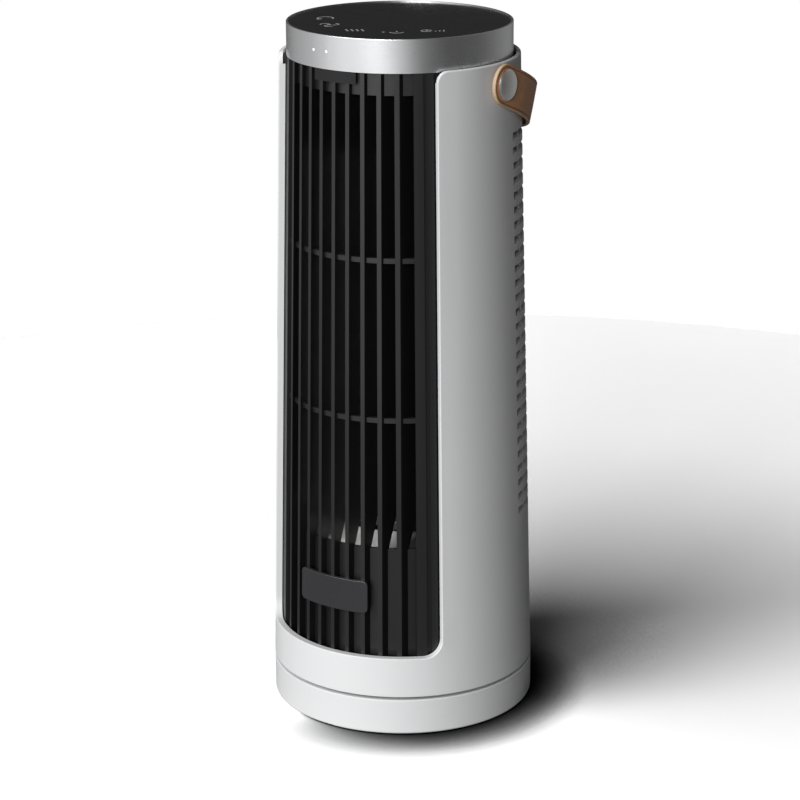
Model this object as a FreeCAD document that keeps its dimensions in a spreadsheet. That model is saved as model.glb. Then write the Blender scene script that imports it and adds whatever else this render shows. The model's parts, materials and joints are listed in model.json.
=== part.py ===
"""A ceramic tower heater: a swinging tower with a carrying strap on a round base.

Millimetres, +Z up. The origin is on the floor under the middle of the base, and
the air outlet faces -Y. Angles round the tower are counted from the front (-Y)
towards +X.
"""
import FreeCAD, Part
import Sketcher
import math
import os
import re

doc = FreeCAD.newDocument("tower_heater")
dims = doc.addObject("Spreadsheet::Sheet", "dims")

# ---------------------------------------------------------------- driving sizes
SIZES = {
    # the whole heater
    "total_height": 420.0,          # floor to the rim of the top ring
    "base_radius": 80.0,            # base, and the tower where it meets the base
    "shell_top_radius": 71.0,       # the sleeve narrows evenly up to here
    "shell_top_height": 401.5,
    "seam_height": 24.3,            # lower edge of the tower
    "seam_gap": 1.8,                # dark groove between base and tower
    "running_clearance": 0.1,       # shafts, bearings and slides
    "fit_clearance": 0.3,           # parts that are laid in each other
    # base drum
    "foot_height": 0.5,             # underside of the base plate above the floor
    "foot_radius": 65.5,
    "foot_bore": 57.0,
    "foot_recess": 0.8,
    "base_wall": 3.0,
    "base_edge_rounding": 1.5,
    "deck_thickness": 2.6,
    "base_plate_thickness": 2.4,
    "base_screw_circle": 69.5,
    "base_boss_radius": 4.0,
    "ballast_thickness": 2.0,
    "ballast_radius": 63.0,
    "ballast_hole_radius": 27.0,
    # screws
    "screw_radius": 1.5,
    "screw_head_radius": 2.8,
    "screw_head_height": 1.9,
    "screw_grip": 7.0,              # length in the boss
    "pilot_clearance": 0.05,
    # cord gland
    "gland_flange_radius": 7.0,
    "gland_neck_radius": 5.0,
    "gland_bore_radius": 3.6,
    "gland_flange_thickness": 1.6,
    "gland_seat": 0.4,               # of the inner flange off the wall
    "gland_step": 0.6,
    # tip-over switch
    "tip_offset": 40.0,             # plunger from the middle, towards +X
    "tip_travel": 3.0,
    "tip_stem_radius": 3.0,
    "tip_flange_radius": 5.2,
    "tip_flange_thickness": 1.5,
    "tip_guide_wall": 1.6,
    "tip_tip_height": 0.3,          # plunger end above the floor when it is pushed in
    "tip_spring_length": 3.2,
    "tip_spring_wire": 0.6,
    "switch_length": 12.8,
    "switch_width": 5.8,
    "switch_height": 6.5,
    # swivel
    "hub_radius": 20.0,
    "hub_bore_radius": 14.0,
    "retainer_radius": 26.0,
    "retainer_thickness": 1.6,
    "retainer_screw_circle": 17.0,
    "track_inner_radius": 62.5,
    "track_width": 7.0,
    "bearing_thickness": 2.0,
    "gear_space": 5.6,              # tower floor above the lower edge of the tower
    "chassis_thickness": 3.0,
    # swing drive
    "gear_module": 1.0,
    "ring_teeth": 105,
    "pinion_teeth": 14,
    "gear_backlash": 0.3,
    "gear_face": 4.0,
    "ring_gear_rim": 3.6,
    "gear_roof_gap": 0.7,            # from the ring gear to the tower floor
    "gear_end_gap": 0.2,
    "swing_motor_radius": 17.5,
    "swing_motor_depth": 12.5,
    "swing_shaft_radius": 2.5,
    "swing_collar_radius": 4.5,
    "swing_ear_reach": 23.0,
    "swing_ear_width": 8.0,
    "swing_ear_thickness": 1.0,
    "swing_ear_inset": 3.0,         # screws from the ends of the ears
    "ear_head_radius": 2.0,
    "swing_blind_floor": 0.4,       # left over the blind holes in the deck
    # sleeve
    "shell_wall": 2.4,
    "edge_depth": 4.0,              # the wall is thicker round the opening
    "edge_angle": 1.8,
    "edge_height": 1.8,
    "opening_half_angle": 51.9,
    "opening_low": 49.0,
    "opening_low_rounding": 10.5,
    "opening_top_rounding": 6.5,
    "shell_edge_rounding": 0.7,
    "louvre_count": 27,
    "louvre_pitch": 8.86,
    "louvre_low": 125.9,            # middle of the lowest slot
    "louvre_slot": 4.4,
    "louvre_rise": 1.6,             # the slots climb inwards against splashes
    "louvre_angle": 160.0,
    "web_count": 7,
    "web_spacing": 23.0,            # degrees
    "web_width": 2.0,
    "web_setback": 1.2,
    "web_depth": 2.6,
    "shell_screw_inset": 6.5,       # screws in from the outside of the base
    "shell_lug_radius": 4.4,
    "shell_lug_height": 9.0,
    # front grille
    "grille_setback": 4.6,          # fin fronts behind the face of the sleeve
    "grille_half_angle": 56.5,
    "grille_top": 400.2,
    "fin_pitch": 0.1362,            # share of the grille radius
    "fin_thickness": 2.4,
    "fin_depth": 16.0,
    "border_half_angle": 41.2,
    "border_groove_angle": 47.0,
    "border_thickness": 2.2,
    "wall_setback": 5.4,            # closed walls behind the fin fronts
    "wall_thickness": 2.0,
    "wall_top": 115.0,
    "fin_taper_height": 27.0,       # fins reach full depth this far above the wall
    "band_low": 387.3,
    "band_setback": 3.0,
    "low_rib_height": 195.5,
    "high_rib_height": 291.5,
    "rib_height": 3.0,
    "rib_depth": 3.4,
    "rib_setback": 2.0,
    "rim_gap_angle": 0.5,           # from the turned-in wall to the step of the frame behind it
    "edge_groove_angle": 0.8,       # of the frame that shows dark beside the opening
    "border_groove_width": 2.6,
    "border_groove_depth": 1.4,
    # trim on the grille
    "window_half_angle": 12.4,
    "window_low": 393.6,
    "window_thickness": 1.6,
    "plate_half_angle": 18.6,
    "plate_low": 76.0,
    "plate_high": 96.0,
    "plate_thickness": 2.2,
    "plate_rounding": 3.0,
    "plate_edge_rounding": 0.4,
    # top
    "ring_low": 400.5,
    "ring_radius": 66.6,
    "ring_wall": 1.4,
    "ring_edge_rounding": 0.4,
    "panel_recess": 0.6,
    "panel_thickness": 1.8,
    "carrier_wall": 2.0,
    "carrier_skirt_radius": 49.5,
    "flange_thickness": 2.0,
    "spacer_thickness": 3.0,
    "spacer_height": 8.0,
    "light_drop": 9.3,              # lights under the rim of the ring
    "light_radius": 0.75,
    "light_angle_left": -13.0,
    "light_angle_right": -4.3,
    "board_radius": 56.0,
    "board_thickness": 1.6,
    "board_hole_radius": 6.0,
    "board_drop": 5.0,              # board under the panel
    "board_post_radius": 3.0,
    "board_post_circle": 52.5,
    "touch_circle": 41.5,
    "touch_angle": 32.5,
    "touch_pad_radius": 4.0,
    "touch_pad_bore": 2.6,
    "buzzer_radius": 6.0,
    "buzzer_offset": 25.0,
    "buzzer_height": 5.0,
    # blower
    "wheel_back": 16.0,             # wheel axis behind the middle of the tower
    "wheel_radius": 27.0,
    "wheel_low": 118.0,
    "wheel_high": 366.0,
    "wheel_end_thickness": 2.0,
    "wheel_ring_thickness": 1.2,
    "wheel_ring_count": 3,
    "blade_inner_radius": 21.0,
    "blade_thickness": 0.9,
    "blade_sweep": 12.0,
    "blade_curve": 8.0,
    "blade_count": 28,
    "shaft_radius": 3.0,
    "coupling_radius": 8.0,
    "coupling_height": 4.5,
    "axle_radius": 3.0,
    "axle_height": 12.5,
    # motor
    "motor_radius": 27.0,
    "motor_wall": 1.6,
    "motor_low": 66.0,
    "motor_high": 108.0,
    "bearing_radius": 6.0,
    "bearing_height": 7.0,
    "stator_bore_radius": 13.4,
    "stator_low": 78.0,
    "stator_high": 98.0,
    "winding_radius": 22.0,
    "winding_gap": 1.5,
    "winding_height": 4.5,
    "rotor_radius": 12.9,
    "rotor_end_gap": 0.5,
    # frame of the tower
    "post_radius": 4.0,
    "front_post_across": 46.0,
    "front_post_back": -14.0,
    "rear_post_across": 38.0,
    "rear_post_back": 40.0,
    "motor_plate_radius": 58.0,
    "lead_slot_margin": 9.0,
    "plate_sheet": 3.0,
    "duct_high": 372.0,
    "casing_wall": 1.6,
    "scroll_start_radius": 29.0,
    "scroll_start_angle": 40.0,
    "scroll_end_radius": 34.0,
    "scroll_end_angle": 95.0,
    "scroll_curve": 33.0,
    "duct_half_width": 31.0,
    "tongue_gap": 3.1,
    "tongue_reach": 45.0,
    "deflector_outer_radius": 65.4,
    "deflector_inner_radius": 43.0,
    "deflector_rise": 4.8,
    "deflector_sheet": 1.0,
    "deflector_half_angle": 50.0,
    "filter_thickness": 0.8,
    "filter_half_angle": 80.0,
    # ceramic heater
    "heater_front": -38.0,
    "heater_depth": 11.0,
    "heater_low": 118.5,
    "heater_high": 350.0,
    "heater_border": 4.0,
    "stack_width": 11.0,
    "stack_count": 4,
    "element_width": 4.0,
    "stack_fin_pitch": 6.0,
    "stack_fin_thickness": 0.6,
    "terminal_width": 4.8,
    "terminal_sheet": 0.8,
    "terminal_low": 104.0,
    "cutout_radius": 7.0,
    "cutout_inset": 12.0,            # towards -X from the middle
    "cutout_depth": 7.0,
    # power board
    "power_board_width": 76.0,
    "board_rest_inset": 2.0,
    "board_rest_width": 6.0,
    "board_rest_depth": 5.0,
    "board_rest_height": 30.0,
    "power_board_low": 34.0,
    "power_board_high": 98.0,
    "power_board_front": -40.0,
    "relay_width": 19.0,
    "relay_depth": 15.0,
    "relay_height": 15.5,
    "relay_left": 20.0,
    "relay_right": 4.0,
    "relay_rise": 30.0,
    "capacitor_radius": 8.0,
    "capacitor_inset": 12.0,
    "capacitor_rise": 14.0,
    "capacitor_length": 18.0,
    "terminal_block_depth": 10.0,
    "terminal_block_end": 4.0,      # past the outer elements
    "terminal_block_height": 12.0,
    "lead_radius": 1.3,
    # handle
    "stud_height": 389.0,
    "stud_cap_radius": 9.2,
    "stud_cap_height": 2.8,
    "stud_dome_rise": 1.3,
    "stud_rim_rounding": 0.7,
    "stud_foot_bevel": 0.4,
    "stud_shank_radius": 3.9,
    "nut_radius": 6.5,
    "nut_thickness": 2.2,
    "nut_gap": 0.2,                 # from the nut to the sleeve
    "stud_end_reach": 0.8,
    "strap_width": 24.2,
    "strap_thickness": 2.4,
    "strap_gap": 1.0,               # strap ends off the sleeve at the studs
    "strap_droop": 22.5,            # degrees below level, resting
    "strap_lean": 0.36,             # how far the band leans out as it climbs
    "strap_straight": 11.0,
    "strap_side_curve": 90.0,
    "strap_side_turn": 56.0,
}
for line, (name, size) in enumerate(SIZES.items(), 1):
    dims.set(f"A{line}", name)
    dims.set(f"B{line}", str(size))
    dims.setAlias(f"B{line}", name)
doc.recompute()

NAMES = re.compile(r"\b(" + "|".join(sorted(SIZES, key=len, reverse=True)) + r")\b")


def ref(text):
    """A formula in size names, as an expression on the sheet's cells."""
    return NAMES.sub(r"dims.\1", str(text))


def value(text):
    """What a formula in size names comes to now."""
    return float(dims.evalExpression(ref(text)))


def bind(item, **formulas):
    """Tie an object's properties to formulas; a double underscore stands for a dot."""
    for key, text in formulas.items():
        item.setExpression(key.replace("__", "."), ref(text))


# ---------------------------------------------------------------- levels and radii
DECK_TOP = "(seam_height - seam_gap)"
DECK_UNDER = f"({DECK_TOP} - deck_thickness)"
PLATE_TOP = "(foot_height + base_plate_thickness)"
CHASSIS_UNDER = "(seam_height + gear_space)"
CHASSIS_TOP = f"({CHASSIS_UNDER} + chassis_thickness)"
BEARING_TOP = f"({DECK_TOP} + bearing_thickness)"
HUB_LOW = f"({DECK_UNDER} - running_clearance)"
DRIVE_OFFSET = "(gear_module * (ring_teeth - pinion_teeth) / 2)"
GEAR_LOW = f"({CHASSIS_UNDER} - gear_face - gear_roof_gap)"
TRACK_OUTER = "(track_inner_radius + track_width)"
MOTOR_PLATE_TOP = "(motor_high + plate_sheet)"
TOP_PLATE_TOP = "(duct_high + plate_sheet)"
PANEL_TOP = "(total_height - panel_recess)"
PANEL_UNDER = f"({PANEL_TOP} - panel_thickness)"
BOARD_TOP = f"({PANEL_UNDER} - board_drop)"
BOARD_UNDER = f"({BOARD_TOP} - board_thickness)"
RING_BORE = "(ring_radius - ring_wall)"
LIGHT_HEIGHT = "(total_height - light_drop)"
FLANGE_TOP = "(ring_low + flange_thickness)"
HEATER_HALF = "(stack_count * stack_width / 2 + (stack_count - 1) * element_width / 2)"
HEATER_BACK = "(heater_front + heater_depth)"
STACK_LOW = "(heater_low + heater_border)"
STACK_HIGH = "(heater_high - heater_border)"
FLANGE_LOW = f"({PLATE_TOP} + tip_travel + running_clearance)"
GUIDE_TOP = f"({FLANGE_LOW} + tip_flange_thickness + tip_spring_length + 1)"
STRAP_INNER = f"(shell_top_radius + strap_gap)"


def shell_radius(height):
    """Outer radius of the sleeve at a height."""
    return ("(base_radius - (base_radius - shell_top_radius)"
            f" * ({height} - seam_height) / (shell_top_height - seam_height))")


def grille_radius(height):
    """Radius of the fin fronts at a height."""
    return f"({shell_radius(height)} - grille_setback)"


def around(radius, angle):
    """Across and back of a spot at an angle from the front."""
    return f"(({radius}) * sin({angle}))", f"(-({radius}) * cos({angle}))"


# ---------------------------------------------------------------- sketch and feature helpers
def body(name):
    """An empty body with its own label."""
    new = doc.addObject("PartDesign::Body", name)
    new.Label = name
    return new


def sketch(owner, plane, lift=None, turn=None):
    """A sketch on one of the body's own planes, lifted off it or turned about the upright."""
    new = owner.newObject("Sketcher::SketchObject", owner.Name + "_sketch")
    face = [item for item in owner.Origin.OriginFeatures if item.Role == plane + "_Plane"][0]
    new.AttachmentSupport = (face, [""])
    new.MapMode = "FlatFace"
    if lift is not None:
        bind(new, AttachmentOffset__Base__z=lift)
    if turn is not None:
        offset = FreeCAD.Placement(FreeCAD.Vector(), FreeCAD.Rotation(FreeCAD.Vector(0, 1, 0), 1))
        new.AttachmentOffset = offset
        bind(new, AttachmentOffset__Rotation__Angle=turn)
    return new


def pin_down(drawing, shape, spot, across, up):
    """Hold one point of a sketch at formulas for its two coordinates."""
    for kind, text in (("DistanceX", across), ("DistanceY", up)):
        number = drawing.addConstraint(Sketcher.Constraint(kind, -1, 1, shape, spot, value(text)))
        if re.search("[a-z]", str(text)):
            drawing.setExpression(f"Constraints[{number}]", ref(text))


def arc_between(start, end, radius):
    """The short arc between two points; a positive radius turns left on the way."""
    middle, chord = (start + end) * 0.5, end - start
    left = FreeCAD.Vector(-chord.y, chord.x, 0).normalize()
    rise = math.sqrt(max(radius ** 2 - (chord.Length / 2) ** 2, 0))
    centre = middle + left * math.copysign(rise, radius)
    first, last = (start, end) if radius > 0 else (end, start)
    angles = [math.atan2(p.y - centre.y, p.x - centre.x) for p in (first, last)]
    if angles[1] < angles[0]:
        angles[1] += 2 * math.pi
    return Part.ArcOfCircle(Part.Circle(centre, FreeCAD.Vector(0, 0, 1), abs(radius)), *angles)


def outline(drawing, *points):
    """A closed outline. A point is (across, up), or (across, up, radius of the arc that leads to it)."""
    spots = [FreeCAD.Vector(value(point[0]), value(point[1]), 0) for point in points]
    first = drawing.GeometryCount
    ends = []
    for number, point in enumerate(points):
        start, end = spots[number - 1], spots[number]
        if len(point) == 3:
            radius = value(point[2])
            shape = drawing.addGeometry(arc_between(start, end, radius))
            turn = drawing.addConstraint(Sketcher.Constraint("Radius", shape, abs(radius)))
            drawing.setExpression(f"Constraints[{turn}]", ref(f"abs({point[2]})"))
            ends.append((1, 2) if radius > 0 else (2, 1))
        else:
            drawing.addGeometry(Part.LineSegment(start, end))
            ends.append((1, 2))
    for number, point in enumerate(points):
        following = (number + 1) % len(points)
        drawing.addConstraint(Sketcher.Constraint(
            "Coincident", first + number, ends[number][1], first + following, ends[following][0]))
        pin_down(drawing, first + number, ends[number][1], point[0], point[1])


def rectangle(drawing, left, right, low, high):
    """An upright rectangle."""
    outline(drawing, (left, low), (right, low), (right, high), (left, high))


def circle(drawing, across, up, radius):
    """A circle."""
    spot = FreeCAD.Vector(value(across), value(up), 0)
    ring = Part.Circle(spot, FreeCAD.Vector(0, 0, 1), value(radius))
    shape = drawing.addGeometry(ring)
    number = drawing.addConstraint(Sketcher.Constraint("Radius", shape, value(radius)))
    drawing.setExpression(f"Constraints[{number}]", ref(radius))
    pin_down(drawing, shape, 3, across, up)


def pad(owner, drawing, length, reverse=False, middle=False):
    """Extrude a sketch."""
    new = owner.newObject("PartDesign::Pad", owner.Name + "_pad")
    new.Profile = drawing
    new.Reversed = reverse
    new.Midplane = middle
    bind(new, Length=length)
    return new


def revolve(owner, drawing, angle="360"):
    """Turn a sketch about the upright axis, equally to both sides."""
    new = owner.newObject("PartDesign::Revolution", owner.Name + "_turned")
    new.Profile = drawing
    new.ReferenceAxis = (drawing, ["V_Axis"])
    new.Midplane = True
    bind(new, Angle=angle)
    return new


def check_cut(owner, new, before):
    """A cut has to take something away."""
    doc.recompute()
    if new.Shape.Volume > before - 0.01:
        raise RuntimeError(f"{new.Name} in {owner.Label} cuts nothing")
    return new


def pocket(owner, drawing, length=None, reverse=False, middle=False):
    """Cut a sketch straight through, or to a depth."""
    doc.recompute()
    before = owner.Shape.Volume
    new = owner.newObject("PartDesign::Pocket", owner.Name + "_pocket")
    new.Profile = drawing
    new.Reversed = reverse
    new.Midplane = middle
    if length is None:
        new.Type = "ThroughAll"
    else:
        bind(new, Length=length)
    return check_cut(owner, new, before)


def groove(owner, drawing, angle="360"):
    """Turn a sketch about the upright axis and cut it away."""
    doc.recompute()
    before = owner.Shape.Volume
    new = owner.newObject("PartDesign::Groove", owner.Name + "_groove")
    new.Profile = drawing
    new.ReferenceAxis = (drawing, ["V_Axis"])
    new.Midplane = True
    bind(new, Angle=angle)
    return check_cut(owner, new, before)


def axis_of(owner, letter):
    """One of the body's own axes."""
    return [item for item in owner.Origin.OriginFeatures if item.Role == letter + "_Axis"][0]


def polar(owner, feature, count, angle="360"):
    """Repeat a feature round the upright axis."""
    new = owner.newObject("PartDesign::PolarPattern", owner.Name + "_polar")
    new.Originals = [feature]
    new.Axis = (axis_of(owner, "Z"), [""])
    bind(new, Angle=angle, Occurrences=count)
    owner.Tip = new
    return new


def row(owner, feature, letter, length, count, inside=False):
    """Repeat a feature along an axis; inside a grid it gets its feature from the grid."""
    new = owner.newObject("PartDesign::LinearPattern", owner.Name + "_row")
    if not inside:
        new.Originals = [feature]
    new.Direction = (axis_of(owner, letter), [""])
    bind(new, Length=length, Occurrences=count)
    if not inside:
        owner.Tip = new
    return new


def grid(owner, feature, *rows):
    """Repeat a feature along two axes; each row is (axis, length, count)."""
    new = owner.newObject("PartDesign::MultiTransform", owner.Name + "_grid")
    new.Originals = [feature]
    new.Transformations = [row(owner, feature, *one, inside=True) for one in rows]
    owner.Tip = new
    return new


def fillet(owner, radius, wanted):
    """Round the edges of the body for which wanted(edge) holds."""
    doc.recompute()
    base = owner.Tip
    edges = [f"Edge{number}" for number, edge in enumerate(base.Shape.Edges, 1) if wanted(edge)]
    if not edges:
        raise RuntimeError(f"no edge to round on {owner.Label}")
    new = owner.newObject("PartDesign::Fillet", owner.Name + "_fillet")
    new.Base = (base, edges)
    bind(new, Radius=radius)
    return new


# ---------------------------------------------------------------- solids from primitives
def cylinder(name, radius, low, high, first="0", second="0", along="z"):
    """A round bar between two levels, along z at (x, y), along x at (y, z) or along y at (x, z)."""
    new = doc.addObject("Part::Cylinder", name)
    bind(new, Radius=radius, Height=f"({high}) - ({low})")
    spot = {"z": (first, second, low), "x": (low, first, second), "y": (first, low, second)}[along]
    if along == "x":
        new.Placement.Rotation = FreeCAD.Rotation(FreeCAD.Vector(0, 1, 0), 90)
    if along == "y":
        new.Placement.Rotation = FreeCAD.Rotation(FreeCAD.Vector(1, 0, 0), -90)
    bind(new, Placement__Base__x=spot[0], Placement__Base__y=spot[1], Placement__Base__z=spot[2])
    return new


def block(name, across, back, up):
    """A box; each argument is a pair of formulas."""
    new = doc.addObject("Part::Box", name)
    lengths = [f"({high}) - ({low})" for low, high in (across, back, up)]
    bind(new, Length=lengths[0], Width=lengths[1], Height=lengths[2])
    bind(new, Placement__Base__x=across[0], Placement__Base__y=back[0], Placement__Base__z=up[0])
    return new


def group(name, pieces):
    """Separate solids under one name."""
    new = doc.addObject("Part::Compound", name)
    new.Links = pieces
    new.Label = name
    return new


def fuse(name, pieces):
    """Solids joined to one."""
    new = doc.addObject("Part::MultiFuse", name)
    new.Shapes = pieces
    new.Label = name
    return new


def cut(name, base, *tools):
    """A solid less its tools."""
    new = doc.addObject("Part::Cut", name)
    new.Base = base
    new.Tool = tools[0] if len(tools) == 1 else fuse(name + "_tools", list(tools))
    new.Label = name
    return new


def tube(name, radius, bore, low, high, first="0", second="0", along="z"):
    """A round bar with a round hole through it."""
    outer = cylinder(name + "_bar", radius, low, high, first, second, along)
    hole = cylinder(name + "_hole", bore, f"{low} - 1", f"{high} + 1", first, second, along)
    return cut(name, outer, hole)


def screw(name, x, y, seat, upwards=True):
    """A screw whose head rests against a seat level and whose shank goes up, or down, from it."""
    if upwards:
        head = cylinder(name + "_head", "screw_head_radius", f"{seat} - screw_head_height", seat, x, y)
        shank = cylinder(name + "_shank", "screw_radius", seat, f"{seat} + screw_grip", x, y)
    else:
        head = cylinder(name + "_head", "screw_head_radius", seat, f"{seat} + screw_head_height", x, y)
        shank = cylinder(name + "_shank", "screw_radius", f"{seat} - screw_grip", seat, x, y)
    return fuse(name, [head, shank])


def coil(name, radius, wire, low, high, turns, x="0", y="0"):
    """A round wire wound to a helix, its wire wholly between two levels."""
    helix = doc.addObject("Part::Helix", name + "_path")
    rise = f"(({high}) - ({low}) - 2 * ({wire}))"
    bind(helix, Radius=radius, Height=rise, Pitch=f"{rise} / {turns}")
    section = doc.addObject("Part::Circle", name + "_wire")
    bind(section, Radius=wire)
    section.Placement.Rotation = FreeCAD.Rotation(FreeCAD.Vector(1, 0, 0), 90)
    bind(section, Placement__Base__x=radius)
    new = doc.addObject("Part::Sweep", name)
    new.Sections = [section]
    new.Spine = (helix, ["Edge1"])
    new.Solid = True
    new.Frenet = True
    new.Label = name
    bind(new, Placement__Base__x=x, Placement__Base__y=y, Placement__Base__z=f"{low} + {wire}")
    return new


# ================================================================ base
def square_spots(circle_radius):
    """Four spots on a circle."""
    return [around(circle_radius, str(angle)) for angle in (45, 135, 225, 315)]


def base_shell():
    drum = body("base_shell")
    profile = sketch(drum, "XZ")
    inner = "(base_radius - base_wall)"
    bore = "(hub_radius + running_clearance)"
    outline(profile, (bore, DECK_UNDER), (inner, DECK_UNDER), (inner, "foot_height"),
            ("base_radius", "foot_height"), ("base_radius", DECK_TOP), (bore, DECK_TOP))
    revolve(drum, profile)
    fillet(drum, "base_edge_rounding", lambda edge: is_ring(edge, "base_radius", "foot_height"))
    fillet(drum, "shell_edge_rounding", lambda edge: is_ring(edge, "base_radius", DECK_TOP))
    boss = sketch(drum, "XY", lift=PLATE_TOP)
    circle(boss, *around("base_screw_circle", "45"), "base_boss_radius")
    polar(drum, pad(drum, boss, f"{DECK_UNDER} - {PLATE_TOP}"), "4")
    pilot = sketch(drum, "XY", lift=PLATE_TOP)
    circle(pilot, *around("base_screw_circle", "45"), "screw_radius + pilot_clearance")
    polar(drum, pocket(drum, pilot, "screw_grip + 1", reverse=True), "4")
    collar = sketch(drum, "XY", lift=DECK_UNDER)
    circle(collar, f"-{DRIVE_OFFSET}", "0", "swing_collar_radius + running_clearance")
    pocket(drum, collar, "deck_thickness", reverse=True)
    for side in ("", "-"):
        ear_hole = sketch(drum, "XY", lift=DECK_UNDER)
        circle(ear_hole, f"-{DRIVE_OFFSET}", f"{side}(swing_ear_reach - swing_ear_inset)",
               "screw_radius + pilot_clearance")
        pocket(drum, ear_hole, "deck_thickness - swing_blind_floor", reverse=True)
    gland = sketch(drum, "XZ")
    circle(gland, "0", GLAND_HEIGHT, "gland_neck_radius + running_clearance / 2")
    pocket(drum, gland)
    return drum


GLAND_HEIGHT = f"((foot_height + {DECK_TOP}) / 2)"


def is_ring(edge, radius, height):
    """Whether an edge is the circle of a radius round the upright at a height."""
    box = edge.BoundBox
    level = abs(box.ZMin - value(height)) < 0.01 and abs(box.ZMax - value(height)) < 0.01
    return level and abs(box.XMax - value(radius)) < 0.01 and abs(box.YMax - value(radius)) < 0.01


def base_plate():
    plate = body("base_plate")
    disc = sketch(plate, "XY", lift="foot_height")
    circle(disc, "0", "0", "base_radius - base_wall - fit_clearance")
    pad(plate, disc, "base_plate_thickness")
    guide = sketch(plate, "XY", lift=PLATE_TOP)
    circle(guide, "tip_offset", "0", "tip_flange_radius + running_clearance + tip_guide_wall")
    pad(plate, guide, f"{GUIDE_TOP} - {PLATE_TOP}")
    chamber = sketch(plate, "XY", lift=PLATE_TOP)
    circle(chamber, "tip_offset", "0", "tip_flange_radius + running_clearance")
    pocket(plate, chamber, f"{GUIDE_TOP} - {PLATE_TOP} - 1", reverse=True)
    bore = sketch(plate, "XY", lift="foot_height")
    circle(bore, "tip_offset", "0", "tip_stem_radius + running_clearance")
    pocket(plate, bore, f"{GUIDE_TOP} - foot_height", reverse=True)
    hole = sketch(plate, "XY", lift="foot_height")
    circle(hole, *around("base_screw_circle", "45"), "screw_radius + running_clearance")
    polar(plate, pocket(plate, hole, "base_plate_thickness", reverse=True), "4")
    counterbore = sketch(plate, "XY", lift="foot_height")
    circle(counterbore, *around("base_screw_circle", "45"), "screw_head_radius + fit_clearance")
    polar(plate, pocket(plate, counterbore, SCREW_SEAT_DEPTH, reverse=True), "4")
    recess = sketch(plate, "XY", lift="foot_height")
    circle(recess, "0", "0", "foot_radius")
    circle(recess, "0", "0", "foot_bore")
    pocket(plate, recess, "foot_recess", reverse=True)
    return plate


SCREW_SEAT_DEPTH = "(base_plate_thickness - 1)"


def foot_ring():
    return tube("foot_ring", "foot_radius", "foot_bore", "0", "foot_height + foot_recess")


def base_screws():
    seat = f"(foot_height + {SCREW_SEAT_DEPTH})"
    return group("base_screws",
                 [screw("base_screw", x, y, seat) for x, y in square_spots("base_screw_circle")])


def ballast_plate():
    disc = cylinder("ballast_disc", "ballast_radius", PLATE_TOP, f"{PLATE_TOP} + ballast_thickness")
    middle = cylinder("ballast_hole", "ballast_hole_radius", "0", DECK_TOP)
    guide = "tip_flange_radius + running_clearance + tip_guide_wall + fit_clearance"
    return cut("ballast_plate", disc, middle,
               cylinder("ballast_guide_hole", guide, "0", DECK_TOP, "tip_offset"))


def cord_gland():
    gland = body("cord_gland")
    face = sketch(gland, "XZ", lift="-base_radius")
    circle(face, "0", GLAND_HEIGHT, "gland_flange_radius")
    pad(gland, face, "gland_flange_thickness", reverse=True)
    neck = sketch(gland, "XZ", lift="-base_radius")
    circle(neck, "0", GLAND_HEIGHT, "gland_neck_radius")
    pad(gland, neck, "base_wall + gland_flange_thickness")
    inner = sketch(gland, "XZ", lift="-(base_radius - base_wall - gland_seat)")
    circle(inner, "0", GLAND_HEIGHT, "gland_flange_radius - gland_step")
    pad(gland, inner, "gland_flange_thickness")
    bore = sketch(gland, "XZ")
    circle(bore, "0", GLAND_HEIGHT, "gland_bore_radius")
    pocket(gland, bore)
    return gland


# ---------------------------------------------------------------- tip-over switch
def tip_over_plunger():
    stem = cylinder("plunger_stem", "tip_stem_radius", "tip_tip_height",
                    f"{GUIDE_TOP} - running_clearance", "tip_offset")
    flange = cylinder("plunger_flange", "tip_flange_radius", FLANGE_LOW,
                      f"{FLANGE_LOW} + tip_flange_thickness",
                      "tip_offset")
    return fuse("tip_over_plunger", [stem, flange])


def tip_over_spring():
    low = f"({FLANGE_LOW} + tip_flange_thickness + running_clearance / 2)"
    return coil("tip_over_spring", "(tip_stem_radius + tip_flange_radius) / 2", "tip_spring_wire / 2",
                low, f"({GUIDE_TOP} - 1 - running_clearance / 2)", 3, "tip_offset")


def tip_over_switch():
    return block("tip_over_switch", ("tip_offset - switch_length / 2", "tip_offset + switch_length / 2"),
                 ("-switch_width / 2", "switch_width / 2"), (GUIDE_TOP, f"{GUIDE_TOP} + switch_height"))


# ---------------------------------------------------------------- swivel and swing drive
def swivel_bearing():
    return tube("swivel_bearing", TRACK_OUTER, "track_inner_radius", DECK_TOP, BEARING_TOP)


def swivel_retainer():
    plate = tube("retainer_ring", "retainer_radius", "hub_bore_radius", f"{HUB_LOW} - retainer_thickness",
                 HUB_LOW)
    holes = [cylinder("retainer_hole", "screw_radius + running_clearance", "0", DECK_TOP, *spot)
             for spot in square_spots("retainer_screw_circle")]
    return cut("swivel_retainer", plate, *holes)


def retainer_screws():
    return group("retainer_screws", [screw("retainer_screw", x, y, f"({HUB_LOW} - retainer_thickness)")
                                     for x, y in square_spots("retainer_screw_circle")])


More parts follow.
